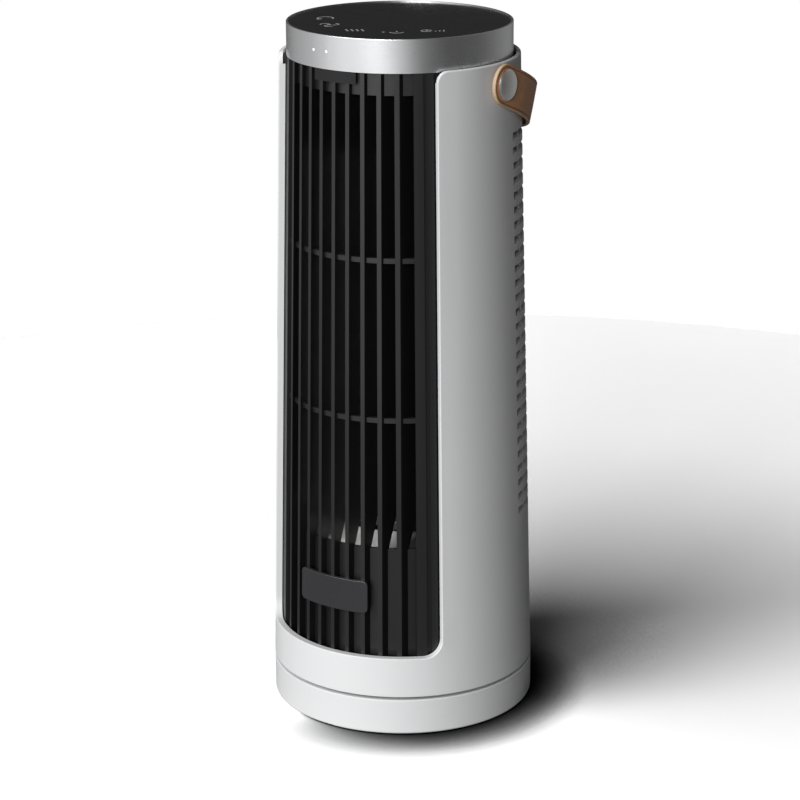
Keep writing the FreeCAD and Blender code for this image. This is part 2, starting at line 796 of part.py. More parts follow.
def gear_outline(teeth, tip_radius, root_radius, play, facing):
    """The closed outline of an involute gear whose first tooth points at an angle in degrees."""
    module, pressure = value("gear_module"), math.radians(20)
    pitch_radius = module * teeth / 2
    base = pitch_radius * math.cos(pressure)
    half = math.pi / (2 * teeth) - play / pitch_radius / 2 + math.tan(pressure) - pressure
    start = max(base, root_radius)

    def flank(radius, side, tooth):
        roll = math.sqrt(max((radius / base) ** 2 - 1, 0))
        angle = side * (half - roll + math.atan(roll)) + 2 * math.pi * tooth / teeth + math.radians(facing)
        return FreeCAD.Vector(radius * math.cos(angle), radius * math.sin(angle), 0)

    def corner(radius, like):
        return like * (radius / like.Length)

    steps = [start + (tip_radius - start) * share for share in (0, 0.25, 0.5, 0.75, 1)]
    edges = []
    for tooth in range(teeth):
        rise = [flank(radius, -1, tooth) for radius in steps]
        fall = [flank(radius, 1, tooth) for radius in reversed(steps)]
        following = flank(start, -1, tooth + 1)
        for points in (rise, fall):
            curve = Part.BSplineCurve()
            curve.interpolate(points)
            edges.append(curve.toShape())
        edges.insert(-1, Part.Arc(rise[-1], corner(tip_radius, rise[-1] + fall[0]), fall[0]).toShape())
        low_left, low_right = corner(root_radius, fall[-1]), corner(root_radius, following)
        if start > root_radius:
            edges.append(Part.LineSegment(fall[-1], low_left).toShape())
        edges.append(Part.Arc(low_left, corner(root_radius, low_left + low_right), low_right).toShape())
        if start > root_radius:
            edges.append(Part.LineSegment(low_right, following).toShape())
    return Part.Wire(edges)


def swing_ring_gear():
    """Inner teeth under the tower floor: a ring less the gear that its spaces form."""
    module, teeth = value("gear_module"), int(value("ring_teeth"))
    pitch_radius = module * teeth / 2
    root = pitch_radius + 1.25 * module
    low, high = value(GEAR_LOW), value(CHASSIS_UNDER)
    spaces = gear_outline(teeth, root, pitch_radius - 0.9 * module, -value("gear_backlash") / 2, 180)
    rim = Part.Wire(Part.makeCircle(root + value("ring_gear_rim")))
    new = doc.addObject("Part::Feature", "swing_ring_gear")
    new.Shape = Part.makeFace([rim, spaces],
                              "Part::FaceMakerBullseye").extrude(FreeCAD.Vector(0, 0, high - low))
    new.Placement.Base.z = low
    return new


def swing_pinion():
    """A small gear on the motor's shaft, one tooth pointing into the ring gear."""
    module, teeth = value("gear_module"), int(value("pinion_teeth"))
    pitch_radius = module * teeth / 2
    wire = gear_outline(teeth, pitch_radius + 0.9 * module, pitch_radius - 1.25 * module,
                        value("gear_backlash") / 2, 180)
    bore = Part.Wire(Part.makeCircle(value("swing_shaft_radius")))
    new = doc.addObject("Part::Feature", "swing_pinion")
    new.Shape = Part.makeFace(
        [wire, bore], "Part::FaceMakerBullseye").extrude(
            FreeCAD.Vector(0, 0, value("gear_face - 2 * gear_end_gap")))
    new.Placement.Base = FreeCAD.Vector(-value(DRIVE_OFFSET), 0, value(f"{GEAR_LOW} + gear_end_gap"))
    return new


def swing_shaft():
    return cylinder("swing_shaft", "swing_shaft_radius", f"{DECK_UNDER} - swing_motor_depth / 2",
                    f"{GEAR_LOW} + gear_face - gear_end_gap", f"-{DRIVE_OFFSET}")


def swing_motor():
    low = f"({DECK_UNDER} - swing_motor_depth)"
    x = f"-{DRIVE_OFFSET}"
    can = cylinder("swing_can", "swing_motor_radius", low, DECK_UNDER, x)
    collar = cylinder("swing_collar", "swing_collar_radius", DECK_UNDER,
                      f"{DECK_TOP} - swing_blind_floor", x)
    ears = block("swing_ears", (f"{x} - swing_ear_width / 2", f"{x} + swing_ear_width / 2"),
                 ("-swing_ear_reach", "swing_ear_reach"),
                 (f"{DECK_UNDER} - swing_ear_thickness", DECK_UNDER))
    bore = cylinder("swing_bore", "swing_shaft_radius + running_clearance / 2",
                    f"{DECK_UNDER} - swing_motor_depth / 2 - running_clearance", DECK_TOP, x)
    holes = [cylinder("ear_hole", "screw_radius + running_clearance", "0", DECK_TOP, x, y)
             for y in EAR_SPOTS]
    return cut("swing_motor", fuse("swing_motor_blank", [can, collar, ears]), bore, *holes)


EAR_SPOTS = ("(swing_ear_reach - swing_ear_inset)", "-(swing_ear_reach - swing_ear_inset)")


def swing_motor_screws():
    seat = f"({DECK_UNDER} - swing_ear_thickness)"
    pieces = []
    for y in EAR_SPOTS:
        head = cylinder("ear_screw_head", "ear_head_radius", f"{seat} - screw_head_height", seat,
                        f"-{DRIVE_OFFSET}", y)
        shank = cylinder("ear_screw_shank", "screw_radius", seat,
                         f"{DECK_TOP} - swing_blind_floor - running_clearance", f"-{DRIVE_OFFSET}", y)
        pieces.append(fuse("swing_motor_screw", [head, shank]))
    return group("swing_motor_screws", pieces)


# ================================================================ tower frame
def tower_chassis():
    floor = body("tower_chassis")
    profile = sketch(floor, "XZ")
    rim = f"({shell_radius(CHASSIS_TOP)} - shell_wall - fit_clearance)"
    track_low = f"({BEARING_TOP} + running_clearance)"
    outline(profile, ("hub_bore_radius", HUB_LOW), ("hub_radius", HUB_LOW), ("hub_radius", CHASSIS_UNDER),
            ("track_inner_radius", CHASSIS_UNDER), ("track_inner_radius", track_low),
            (TRACK_OUTER, track_low), (TRACK_OUTER, CHASSIS_UNDER), (rim, CHASSIS_UNDER), (rim, CHASSIS_TOP),
            ("hub_bore_radius", CHASSIS_TOP))
    revolve(floor, profile)
    for x, y in POST_SPOTS:
        post = sketch(floor, "XY", lift=CHASSIS_TOP)
        circle(post, x, y, "post_radius")
        pad(floor, post, f"motor_high - {CHASSIS_TOP}")
        pilot = sketch(floor, "XY", lift="motor_high")
        circle(pilot, x, y, "screw_radius + pilot_clearance")
        pocket(floor, pilot, "screw_grip + 1 - plate_sheet")
    for side in ("", "-"):
        rest = sketch(floor, "XY", lift=CHASSIS_TOP)
        near, far = (f"{side}(power_board_width / 2 - {inset})"
                     for inset in ("(board_rest_inset + board_rest_width)", "board_rest_inset"))
        rectangle(rest, near, far, BOARD_BACK, f"{BOARD_BACK} + board_rest_depth")
        pad(floor, rest, "board_rest_height")
    for spot in SHELL_SCREWS:
        hole = sketch(floor, "XY", lift=CHASSIS_UNDER)
        circle(hole, *spot, "screw_radius + running_clearance")
        pocket(floor, hole, "chassis_thickness", reverse=True)
    pilot = sketch(floor, "XY", lift=HUB_LOW)
    circle(pilot, *around("retainer_screw_circle", "45"), "screw_radius + pilot_clearance")
    polar(floor, pocket(floor, pilot, "screw_grip + 1", reverse=True), "4")
    return floor


POST_SPOTS = (("front_post_across", "front_post_back"), ("-front_post_across", "front_post_back"),
              ("rear_post_across", "rear_post_back"), ("-rear_post_across", "rear_post_back"))
BOARD_BACK = "(power_board_front + board_thickness)"
SHELL_SCREWS = [around("(base_radius - shell_screw_inset)", angle) for angle in ("65", "145", "215", "295")]


def motor_plate():
    disc = cylinder("motor_plate_disc", "motor_plate_radius", "motor_high", MOTOR_PLATE_TOP)
    tools = [cylinder("motor_plate_bore", "bearing_radius + 1", "motor_high - 1", f"{MOTOR_PLATE_TOP} + 1",
                      "0", "wheel_back")]
    tools += [cylinder("motor_plate_hole", "screw_radius + running_clearance", "motor_high - 1",
                       f"{MOTOR_PLATE_TOP} + 1", x, y) for x, y in POST_SPOTS]
    reach = f"({HEATER_HALF} / 2 + lead_slot_margin)"
    tools.append(block("motor_plate_slot", (f"-{reach}", reach), ("heater_front + 1", f"{HEATER_BACK} - 1"),
                       ("motor_high - 1", f"{MOTOR_PLATE_TOP} + 1")))
    return cut("motor_plate", disc, *tools)


def motor_plate_screws():
    return group("motor_plate_screws",
                 [screw("motor_plate_screw", x, y, MOTOR_PLATE_TOP, upwards=False) for x, y in POST_SPOTS])


def top_plate():
    disc = cylinder("top_plate_disc", "carrier_skirt_radius", "duct_high", TOP_PLATE_TOP)
    cup = cylinder("top_plate_cup", "bearing_radius + 3", TOP_PLATE_TOP, f"{TOP_PLATE_TOP} + 4", "0",
                   "wheel_back")
    bore = cylinder("top_plate_bore", "bearing_radius", "duct_high - 1", f"{TOP_PLATE_TOP} + 5", "0",
                    "wheel_back")
    return cut("top_plate", fuse("top_plate_blank", [disc, cup]), bore)


def wheel_spot(radius, angle):
    """A spot round the wheel's axis, at an angle from the back towards +X."""
    return f"({radius}) * sin({angle})", f"wheel_back + ({radius}) * cos({angle})"


def scroll_casing():
    """The spiral wall of the blower: from close behind the wheel round to the right side of the duct."""
    wall = body("scroll_casing")
    plan = sketch(wall, "XY", lift=MOTOR_PLATE_TOP)
    outer_start = wheel_spot("scroll_start_radius + casing_wall", "scroll_start_angle")
    outer_end = wheel_spot("scroll_end_radius + casing_wall", "scroll_end_angle")
    outline(plan, ("duct_half_width", HEATER_BACK), wheel_spot("scroll_end_radius", "scroll_end_angle"),
            (*wheel_spot("scroll_start_radius", "scroll_start_angle"), "scroll_curve"),
            outer_start, (*outer_end, "-(scroll_curve + casing_wall)"),
            ("duct_half_width + casing_wall", HEATER_BACK))
    pad(wall, plan, f"duct_high - {MOTOR_PLATE_TOP}")
    return wall


def tongue_casing():
    """The wall across the wheel from the scroll, with a nose close to the wheel."""
    wall = body("tongue_casing")
    plan = sketch(wall, "XY", lift=MOTOR_PLATE_TOP)
    nose = "-(wheel_radius + tongue_gap)"
    outline(plan, ("-duct_half_width", HEATER_BACK), ("-(duct_half_width + casing_wall)", HEATER_BACK),
            (f"{nose} - 2 - casing_wall", "wheel_back - 6"), ("-tongue_reach", "wheel_back + 3"),
            ("-tongue_reach", "wheel_back + 3 + casing_wall"), (f"{nose} - 1", "wheel_back - 4"),
            (nose, "wheel_back - 6", "1.2"))
    pad(wall, plan, f"duct_high - {MOTOR_PLATE_TOP}")
    return wall


def outlet_deflector():
    """The pale floor of the outlet, climbing from the front wall to the foot of the heater."""
    sheet = body("outlet_deflector")
    profile = sketch(sheet, "YZ")
    low, high = f"({MOTOR_PLATE_TOP} + 0.2)", f"({MOTOR_PLATE_TOP} + 0.2 + deflector_rise)"
    outline(profile, ("-deflector_outer_radius", low), ("-(deflector_inner_radius + 1)", f"{high} - 0.2"),
            ("-(deflector_inner_radius + 1)", MOTOR_PLATE_TOP), ("-deflector_inner_radius", MOTOR_PLATE_TOP),
            ("-deflector_inner_radius", f"{high} + deflector_sheet"),
            ("-deflector_outer_radius", f"{low} + deflector_sheet"))
    revolve(sheet, profile, "2 * deflector_half_angle")
    return sheet


def inside_shell(height, inset):
    """Radius at an inset from the inner face of the sleeve."""
    return f"({shell_radius(height)} - shell_wall - ({inset}))"


def dust_filter():
    mesh = body("dust_filter")
    profile = sketch(mesh, "YZ")
    face = "web_depth - (shell_wall - web_setback)"
    low, high = MOTOR_PLATE_TOP, "duct_high"
    outline(profile, (inside_shell(low, f"{face} + filter_thickness"), low), (inside_shell(low, face), low),
            (inside_shell(high, face), high), (inside_shell(high, f"{face} + filter_thickness"), high))
    revolve(mesh, profile, "2 * filter_half_angle")
    return mesh


# ================================================================ blower
def blower_wheel():
    """A tangential wheel: curved blades between two ends, with thin rings on the way."""
    wheel = body("blower_wheel")
    for low in ("wheel_low", "wheel_high - wheel_end_thickness"):
        disc = sketch(wheel, "XY", lift=low)
        circle(disc, "0", "0", "wheel_radius")
        pad(wheel, disc, "wheel_end_thickness")
    for number in range(int(value("wheel_ring_count"))):
        level = f"wheel_low + (wheel_high - wheel_low) * {number + 1} / (wheel_ring_count + 1)"
        ring = sketch(wheel, "XY", lift=level)
        circle(ring, "0", "0", "wheel_radius")
        circle(ring, "0", "0", "blade_inner_radius - 1")
        pad(wheel, ring, "wheel_ring_thickness")
    blade = sketch(wheel, "XY", lift="wheel_low")
    inner, outer = "blade_inner_radius", "(wheel_radius - 0.4)"
    lag = "blade_thickness * 180 / (pi * wheel_radius)"
    outline(blade, (inner, "0"),
            (f"{outer} * cos(blade_sweep)", f"{outer} * sin(blade_sweep)", "blade_curve"),
            (f"{outer} * cos(blade_sweep + {lag})", f"{outer} * sin(blade_sweep + {lag})"),
            (f"{inner} * cos({lag})", f"{inner} * sin({lag})", "-blade_curve"))
    polar(wheel, pad(wheel, blade, "wheel_high - wheel_low"), "blade_count")
    bore = sketch(wheel, "XY", lift="wheel_high - wheel_end_thickness")
    circle(bore, "0", "0", "axle_radius")
    pocket(wheel, bore, "wheel_end_thickness", reverse=True)
    bind(wheel, Placement__Base__y="wheel_back")
    return wheel


def wheel_coupling():
    """The rubber-damped hub that joins the wheel to the motor's shaft."""
    return tube("wheel_coupling", "coupling_radius", "shaft_radius", "wheel_low - coupling_height",
                "wheel_low",
                "0", "wheel_back")


def motor_shaft():
    return cylinder("motor_shaft", "shaft_radius", "motor_low + 1", "wheel_low", "0", "wheel_back")


def wheel_axle():
    return cylinder("wheel_axle", "axle_radius", "wheel_high - wheel_end_thickness",
                    "wheel_high - wheel_end_thickness + axle_height", "0", "wheel_back")


def motor_rotor():
    return tube("motor_rotor", "rotor_radius", "shaft_radius", "stator_low + rotor_end_gap",
                "stator_high - rotor_end_gap",
                "0", "wheel_back")


def bell(name, low, high, floor_low, floor_high, boss_low, boss_high):
    """Half of the motor's case: a cup with a boss that holds a bearing."""
    cup = body(name)
    bore = "bearing_radius"
    wall_inner = "(motor_radius - motor_wall)"
    turned = sketch(cup, "XZ")
    rectangle(turned, wall_inner, "motor_radius", low, high)
    revolve(cup, turned)
    floor = sketch(cup, "XZ")
    rectangle(floor, bore, "motor_radius", floor_low, floor_high)
    revolve(cup, floor)
    boss = sketch(cup, "XZ")
    rectangle(boss, bore, "(bearing_radius + 2)", boss_low, boss_high)
    revolve(cup, boss)
    bind(cup, Placement__Base__y="wheel_back")
    return cup


MOTOR_MIDDLE = "((motor_low + motor_high) / 2)"


def motor_lower_bell():
    return bell("motor_lower_bell", "motor_low", MOTOR_MIDDLE, "motor_low", "motor_low + motor_wall",
                "motor_low", "motor_low + bearing_height")


def motor_upper_bell():
    return bell("motor_upper_bell", MOTOR_MIDDLE, "motor_high", "motor_high - motor_wall", "motor_high",
                "motor_high - bearing_height", "motor_high")


def blower_bearings():
    lower = tube("motor_lower_bearing", "bearing_radius", "shaft_radius + running_clearance / 2",
                 "motor_low",
                 "motor_low + bearing_height", "0", "wheel_back")
    upper = tube("motor_upper_bearing", "bearing_radius", "shaft_radius + running_clearance / 2",
                 "motor_high - bearing_height", "motor_high", "0", "wheel_back")
    top = tube("axle_bearing", "bearing_radius", "axle_radius + running_clearance / 2", "duct_high",
               f"{TOP_PLATE_TOP} + 4", "0", "wheel_back")
    return group("blower_bearings", [lower, upper, top])


def motor_stator():
    return tube("motor_stator", "motor_radius - motor_wall", "stator_bore_radius", "stator_low",
                "stator_high",
                "0", "wheel_back")


def motor_windings():
    lower = tube("lower_winding", "winding_radius", "stator_bore_radius + winding_gap",
                 "stator_low - winding_height",
                 "stator_low", "0", "wheel_back")
    upper = tube("upper_winding", "winding_radius", "stator_bore_radius + winding_gap", "stator_high",
                 "stator_high + winding_height - winding_gap", "0", "wheel_back")
    return group("motor_windings", [lower, upper])


# ================================================================ ceramic heater
def heater_frame():
    frame = body("heater_frame")
    lift = f"-{HEATER_BACK}"
    outer = sketch(frame, "XZ", lift=lift)
    half = f"({HEATER_HALF} + heater_border)"
    rectangle(outer, f"-{half}", half, "heater_low", "heater_high")
    pad(frame, outer, "heater_depth")
    window = sketch(frame, "XZ", lift=lift)
    rectangle(window, f"-{HEATER_HALF}", HEATER_HALF, STACK_LOW, STACK_HIGH)
    pocket(frame, window, "heater_depth", reverse=True)
    for number in range(int(value("stack_count")) - 1):
        slot = sketch(frame, "XY", lift="heater_low")
        x = element_middle(number)
        rectangle(slot, f"{x} - terminal_width / 2 - 0.1", f"{x} + terminal_width / 2 + 0.1",
                  f"{TERMINAL_FRONT} - 0.1", f"{TERMINAL_FRONT} + terminal_sheet + 0.1")
        pocket(frame, slot, "heater_border", reverse=True)
    return frame


TERMINAL_FRONT = f"((heater_front + {HEATER_BACK} - terminal_sheet) / 2)"


def element_middle(number):
    """Where a ceramic element stands across the heater, counted from the left."""
    return f"(({number} + 1) * stack_width + ({number} + 0.5) * element_width - {HEATER_HALF})"


def heater_fins():
    """Stacks of thin aluminium fins, each stack one comb with its two side bands."""
    stacks = body("heater_fins")
    block_plan = sketch(stacks, "XZ", lift=f"-({HEATER_BACK} - 0.5)")
    rectangle(block_plan, f"-{HEATER_HALF}", f"stack_width - {HEATER_HALF}", STACK_LOW, STACK_HIGH)
    first = pad(stacks, block_plan, "heater_depth - 1")
    across = ("X", "(stack_count - 1) * (stack_width + element_width)", "stack_count")
    row(stacks, first, *across)
    gap = sketch(stacks, "XZ", lift=f"-({HEATER_BACK} - 0.5)")
    rectangle(gap, f"stack_fin_thickness - {HEATER_HALF}",
              f"stack_width - stack_fin_thickness - {HEATER_HALF}",
              f"{STACK_LOW} + stack_fin_thickness", f"{STACK_LOW} + stack_fin_pitch")
    count = f"floor(({STACK_HIGH} - {STACK_LOW} - stack_fin_thickness) / stack_fin_pitch)"
    cell = pocket(stacks, gap, "heater_depth - 1", reverse=True)
    grid(stacks, cell, ("Z", f"stack_fin_pitch * ({count} - 1)", count), across)
    return stacks


def ceramic_elements():
    bars = []
    for number in range(int(value("stack_count")) - 1):
        x = element_middle(number)
        bars.append(block("ceramic_element", (f"{x} - element_width / 2", f"{x} + element_width / 2"),
                          ("heater_front + 0.5", f"{HEATER_BACK} - 0.5"), (STACK_LOW, STACK_HIGH)))
    return group("ceramic_elements", bars)


def heater_terminals():
    tabs = []
    for number in range(int(value("stack_count")) - 1):
        x = element_middle(number)
        tabs.append(block("heater_terminal", (f"{x} - terminal_width / 2", f"{x} + terminal_width / 2"),
                          (TERMINAL_FRONT, f"{TERMINAL_FRONT} + terminal_sheet"), ("terminal_low",
                                                                                   STACK_LOW)))
    return group("heater_terminals", tabs)


def thermal_cutout():
    """A bimetal disc thermostat that stands on the heater frame."""
    level = "(heater_high + cutout_radius + 1)"
    disc = cylinder("cutout_disc", "cutout_radius", f"{HEATER_BACK} - 2 - cutout_depth",
                    f"{HEATER_BACK} - 2",
                    "-cutout_inset", level, along="y")
    foot = block("cutout_foot", ("-cutout_inset - cutout_radius", "-cutout_inset + cutout_radius"),
                 (f"{HEATER_BACK} - 2 - cutout_depth", f"{HEATER_BACK} - 2"),
                 ("heater_high", "heater_high + 3"))
    return fuse("thermal_cutout", [disc, foot])


# ================================================================ electronics
def power_board():
    return block("power_board", ("-power_board_width / 2", "power_board_width / 2"),
                 ("power_board_front", BOARD_BACK), ("power_board_low", "power_board_high"))


def power_relays():
    relays = []
    low = "(power_board_low + relay_rise)"
    for left in ("-relay_left", "relay_right"):
        relays.append(block("power_relay", (left, f"{left} + relay_width"),
                            ("power_board_front - relay_depth", "power_board_front"),
                            (low, f"{low} + relay_height")))
    return group("power_relays", relays)


def filter_capacitor():
    return cylinder("filter_capacitor", "capacitor_radius", "power_board_front - capacitor_length",
                    "power_board_front", "-capacitor_inset", "power_board_low + capacitor_rise", along="y")


def terminal_block():
    left, right = f"{element_middle(0)} - terminal_block_end", f"{element_middle(2)} + terminal_block_end"
    return block("terminal_block", (left, right),
                 (BOARD_BACK, f"{BOARD_BACK} + terminal_block_depth"),
                 ("power_board_high - terminal_block_height - 2", "power_board_high - 2"))


def heater_leads():
    y = f"({TERMINAL_FRONT} + terminal_sheet / 2)"
    leads = [cylinder("heater_lead", "lead_radius", "power_board_high - 2", "terminal_low",
                      element_middle(number), y)
             for number in range(int(value("stack_count")) - 1)]
    return group("heater_leads", leads)


def control_board():
    disc = cylinder("control_board_disc", "board_radius", BOARD_UNDER, BOARD_TOP)
    return cut("control_board", disc,
               cylinder("board_middle_hole", "board_hole_radius", f"{BOARD_UNDER} - 1", f"{BOARD_TOP} + 1"))


def touch_pads():
    """Soft rings between the board and the panel that sense a finger."""
    rings = []
    for number in range(-2, 3):
        x, y = around("touch_circle", f"{number} * touch_angle")
        rings.append(tube("touch_pad", "touch_pad_radius", "touch_pad_bore", BOARD_TOP, PANEL_UNDER, x, y))
    return group("touch_pads", rings)


def buzzer():
    return tube("buzzer", "buzzer_radius", "1", f"({BOARD_UNDER} - buzzer_height)", BOARD_UNDER, "0",
                "buzzer_offset")


def light_spot(side):
    """Where an indicator light comes through the ring, across the heater."""
    return f"(ring_radius * sin(light_angle_{side}))"


def indicator_lights():
    pipes = []
    for side in ("left", "right"):
        front = f"-(sqrt(ring_radius * ring_radius - {light_spot(side)} * {light_spot(side)}) - 0.1)"
        pipes.append(cylinder("indicator_light", "light_radius", front, "-board_radius", light_spot(side),
                              LIGHT_HEIGHT, along="y"))
    return group("indicator_lights", pipes)


# ================================================================ sleeve
TAPER = "((base_radius - shell_top_radius) / (shell_top_height - seam_height))"


def on_sleeve(edge):
    """Whether an edge bounds the outer face of the sleeve, other than the line where that face closes."""
    ends = [edge.valueAt(edge.FirstParameter + (edge.LastParameter - edge.FirstParameter) * share)
            for share in (0.01, 0.5, 0.99)]
    outside = all(abs(math.hypot(p.x, p.y) - value(shell_radius(p.z))) < 0.02 for p in ends)
    upright = edge.BoundBox.ZLength > 2 * value("opening_low_rounding")
    beside = abs(math.degrees(math.atan2(abs(ends[1].x), -ends[1].y)) - value("opening_half_angle")) < 1
    return outside and (beside or not upright)


def corner_at(height):
    """A test for the short level edges of the sleeve at a height."""
    def test(edge):
        box = edge.BoundBox
        level = box.ZLength < 0.01 and abs(box.ZMin - value(height)) < 0.01
        return level and edge.Length < value("edge_depth + running_clearance")
    return test


def outer_shell():
    sleeve = body("outer_shell")
    low, high = "seam_height", "shell_top_height"
    wall = sketch(sleeve, "XZ")
    outline(wall, (f"{shell_radius(low)} - shell_wall", low), (shell_radius(low), low),
            (shell_radius(high), high), (f"{shell_radius(high)} - shell_wall", high))
    revolve(sleeve, wall)
    edge_low, edge_high = "(opening_low - edge_height)", f"({high} - opening_top_rounding - fit_clearance)"
    edge = sketch(sleeve, "YZ")
    outline(edge, (f"-({shell_radius(edge_low)} - edge_depth)", edge_low),
            (f"-({shell_radius(edge_high)} - edge_depth)", edge_high),
            (f"-({shell_radius(edge_high)} - shell_wall / 2)", edge_high),
            (f"-({shell_radius(edge_low)} - shell_wall / 2)", edge_low))
    revolve(sleeve, edge, "2 * (opening_half_angle + edge_angle)")
    opening = sketch(sleeve, "YZ")
    rectangle(opening, "-(base_radius + 1)", "-(shell_top_radius - edge_depth - 1)", "opening_low",
              f"{high} + 1")
    groove(sleeve, opening, "2 * opening_half_angle")
    fillet(sleeve, "opening_low_rounding", corner_at("opening_low"))
    fillet(sleeve, "opening_top_rounding", corner_at(high))
    fillet(sleeve, "shell_edge_rounding", on_sleeve)
    slot = sketch(sleeve, "YZ")
    face, climb = shell_radius("louvre_low"), "louvre_rise / shell_wall"
    near, far = "(shell_top_radius - shell_wall - 2)", "(base_radius + 1)"
    inner, outer = f"({face} - {near}) * {climb}", f"({face} - {far}) * {climb}"
    outline(slot, (near, f"louvre_low + {inner} - louvre_slot / 2"),
            (far, f"louvre_low + {outer} - louvre_slot / 2"),
            (far, f"louvre_low + {outer} + louvre_slot / 2"),
            (near, f"louvre_low + {inner} + louvre_slot / 2"))
    first = groove(sleeve, slot, "louvre_angle")
    pitch = f"(louvre_pitch * (1 - {climb} * {TAPER}))"
    row(sleeve, first, "Z", f"{pitch} * (louvre_count - 1)", "louvre_count")
    web = sketch(sleeve, "YZ", turn="-web_spacing * (web_count - 1) / 2")
    bottom = "(louvre_low - louvre_slot)"
    top = "(louvre_low + louvre_pitch * (louvre_count - 1) + louvre_slot + 1)"
    depth = "(web_setback + web_depth)"
    outline(web, (f"{shell_radius(bottom)} - {depth}", bottom),
            (f"{shell_radius(bottom)} - web_setback", bottom),
            (f"{shell_radius(top)} - web_setback", top), (f"{shell_radius(top)} - {depth}", top))
    rib = revolve(sleeve, web, "web_width * 180 / (pi * shell_top_radius)")
    polar(sleeve, rib, "web_count", "web_spacing * (web_count - 1)")
    stud = sketch(sleeve, "YZ")
    circle(stud, "0", "stud_height", "stud_shank_radius + running_clearance / 2")
    pocket(sleeve, stud, "2 * base_radius", middle=True)
    for spot in SHELL_SCREWS:
        lug = sketch(sleeve, "XY", lift=CHASSIS_TOP)
        circle(lug, *spot, "shell_lug_radius")
        pad(sleeve, lug, "shell_lug_height")
        pilot = sketch(sleeve, "XY", lift=CHASSIS_TOP)
        circle(pilot, *spot, "screw_radius + pilot_clearance")
        pocket(sleeve, pilot, "shell_lug_height - 1", reverse=True)
    return sleeve


def shell_screws():
    return group("shell_screws", [screw("shell_screw", x, y, CHASSIS_UNDER) for x, y in SHELL_SCREWS])


# ================================================================ front grille and its trim
def band(owner, inner, outer, low, high, half_angle, turn=None):
    """A piece of wall that follows the fin fronts; inner and outer are depths behind them."""
    profile = sketch(owner, "YZ", turn=turn)
    outline(profile, (f"-({grille_radius(low)} - ({outer}))", low),
            (f"-({grille_radius(low)} - ({inner}))", low), (f"-({grille_radius(high)} - ({inner}))", high),
            (f"-({grille_radius(high)} - ({outer}))", high))
    return revolve(owner, profile, f"2 * {half_angle}")


def front_grille():
    """Upright fins before the outlet, with the frame that closes the sleeve's opening round them."""
    grille = body("front_grille")
    low, high = CHASSIS_TOP, "grille_top"
    frame_face = "(shell_wall + running_clearance - grille_setback)"
    rim_half_angle = "(opening_half_angle + edge_angle + rim_gap_angle)"
    edge_groove = "(opening_half_angle - edge_groove_angle)"
    grooves = (("border_groove_angle", "border_groove_width * 180 / (pi * shell_top_radius)"),
               (f"({rim_half_angle} + {edge_groove}) / 2", f"{rim_half_angle} - {edge_groove}"))
    band(grille, "border_thickness", frame_face, low, high, "grille_half_angle")
    middle = sketch(grille, "YZ")
    rectangle(middle, "-(base_radius + 1)", "-(shell_top_radius - grille_setback - border_thickness - 1)",
              f"{low} - 1", f"{high} + 1")
    groove(grille, middle, "2 * border_half_angle")
    fins = sketch(grille, "XZ")
    for number in range(-5, 6):
        lower, upper = (f"{number} * fin_pitch * {grille_radius(level)}" for level in (low, high))
        outline(fins, (f"{lower} - fin_thickness / 2", low), (f"{lower} + fin_thickness / 2", low),
                (f"{upper} + fin_thickness / 2", high), (f"{upper} - fin_thickness / 2", high))
    pad(grille, fins, "base_radius")
    front = sketch(grille, "YZ")
    outline(front, (f"-{grille_radius(low)}", low), (f"-{grille_radius(high)}", high),
            ("-2 * base_radius", high), ("-2 * base_radius", low))
    groove(grille, front, f"2 * {rim_half_angle}")
    back = sketch(grille, "YZ")
    shallow = "(wall_setback + wall_thickness / 2)"
    full = "(wall_top + fin_taper_height)"
    outline(back, ("0", low), ("0", high), (f"-({grille_radius(high)} - fin_depth)", high),
            (f"-({grille_radius(full)} - fin_depth)", full),
            (f"-({grille_radius('wall_top')} - {shallow})", "wall_top"),
            (f"-({grille_radius(low)} - {shallow})", low))
    groove(grille, back, "4 * grille_half_angle")
    band(grille, "wall_setback + wall_thickness", "wall_setback", low, "wall_top", "border_groove_angle")
    band(grille, "band_setback + wall_thickness", "band_setback", "band_low", high, "border_groove_angle")
    for level in ("low_rib_height", "high_rib_height"):
        band(grille, "rib_setback + rib_depth", "rib_setback", f"({level} - rib_height / 2)",
             f"({level} + rib_height / 2)", "border_half_angle")
    for side in ("", "-"):
        for place, width in grooves:
            line = sketch(grille, "YZ", turn=f"{side}{place}")
            outline(line, (f"-({grille_radius(low)} - border_groove_depth)", low),
                    (f"-({grille_radius(high)} - border_groove_depth)", high),
                    ("-(base_radius + 2)", high), ("-(base_radius + 2)", low))
            groove(grille, line, width)
    window = sketch(grille, "YZ")
    outline(window, (f"-({grille_radius('window_low')} - window_thickness)", "window_low"),
            (f"-({grille_radius(high)} - window_thickness)", high),
            ("-(base_radius + 2)", high), ("-(base_radius + 2)", "window_low"))
    groove(grille, window, "2 * window_half_angle")
    return grille


def display_window():
    window = body("display_window")
    band(window, "window_thickness", "0", "window_low", "grille_top", "window_half_angle")
    return window


def nameplate():
    """A small raised plate on the fins, with nothing on it."""
    plate = body("nameplate")
    band(plate, "0", "-plate_thickness", "plate_low", "plate_high", "plate_half_angle")

    def corner(edge):
        box = edge.BoundBox
        return edge.Length < value("plate_thickness") + 0.1 and box.ZLength < 0.01
    fillet(plate, "plate_rounding", corner)
    middle = value(f"{grille_radius('plate_low')} + plate_thickness / 2")
    fillet(plate, "plate_edge_rounding",
           lambda edge: all(math.hypot(point.X, point.Y) > middle for point in edge.Vertexes))
    return plate


# ================================================================ top
def light_holes(owner):
    """Two holes for the indicator lights."""
    for side in ("left", "right"):
        hole = sketch(owner, "XZ")
        circle(hole, light_spot(side), LIGHT_HEIGHT, "light_radius + 0.02")
        pocket(owner, hole, "ring_radius + 1", reverse=True)


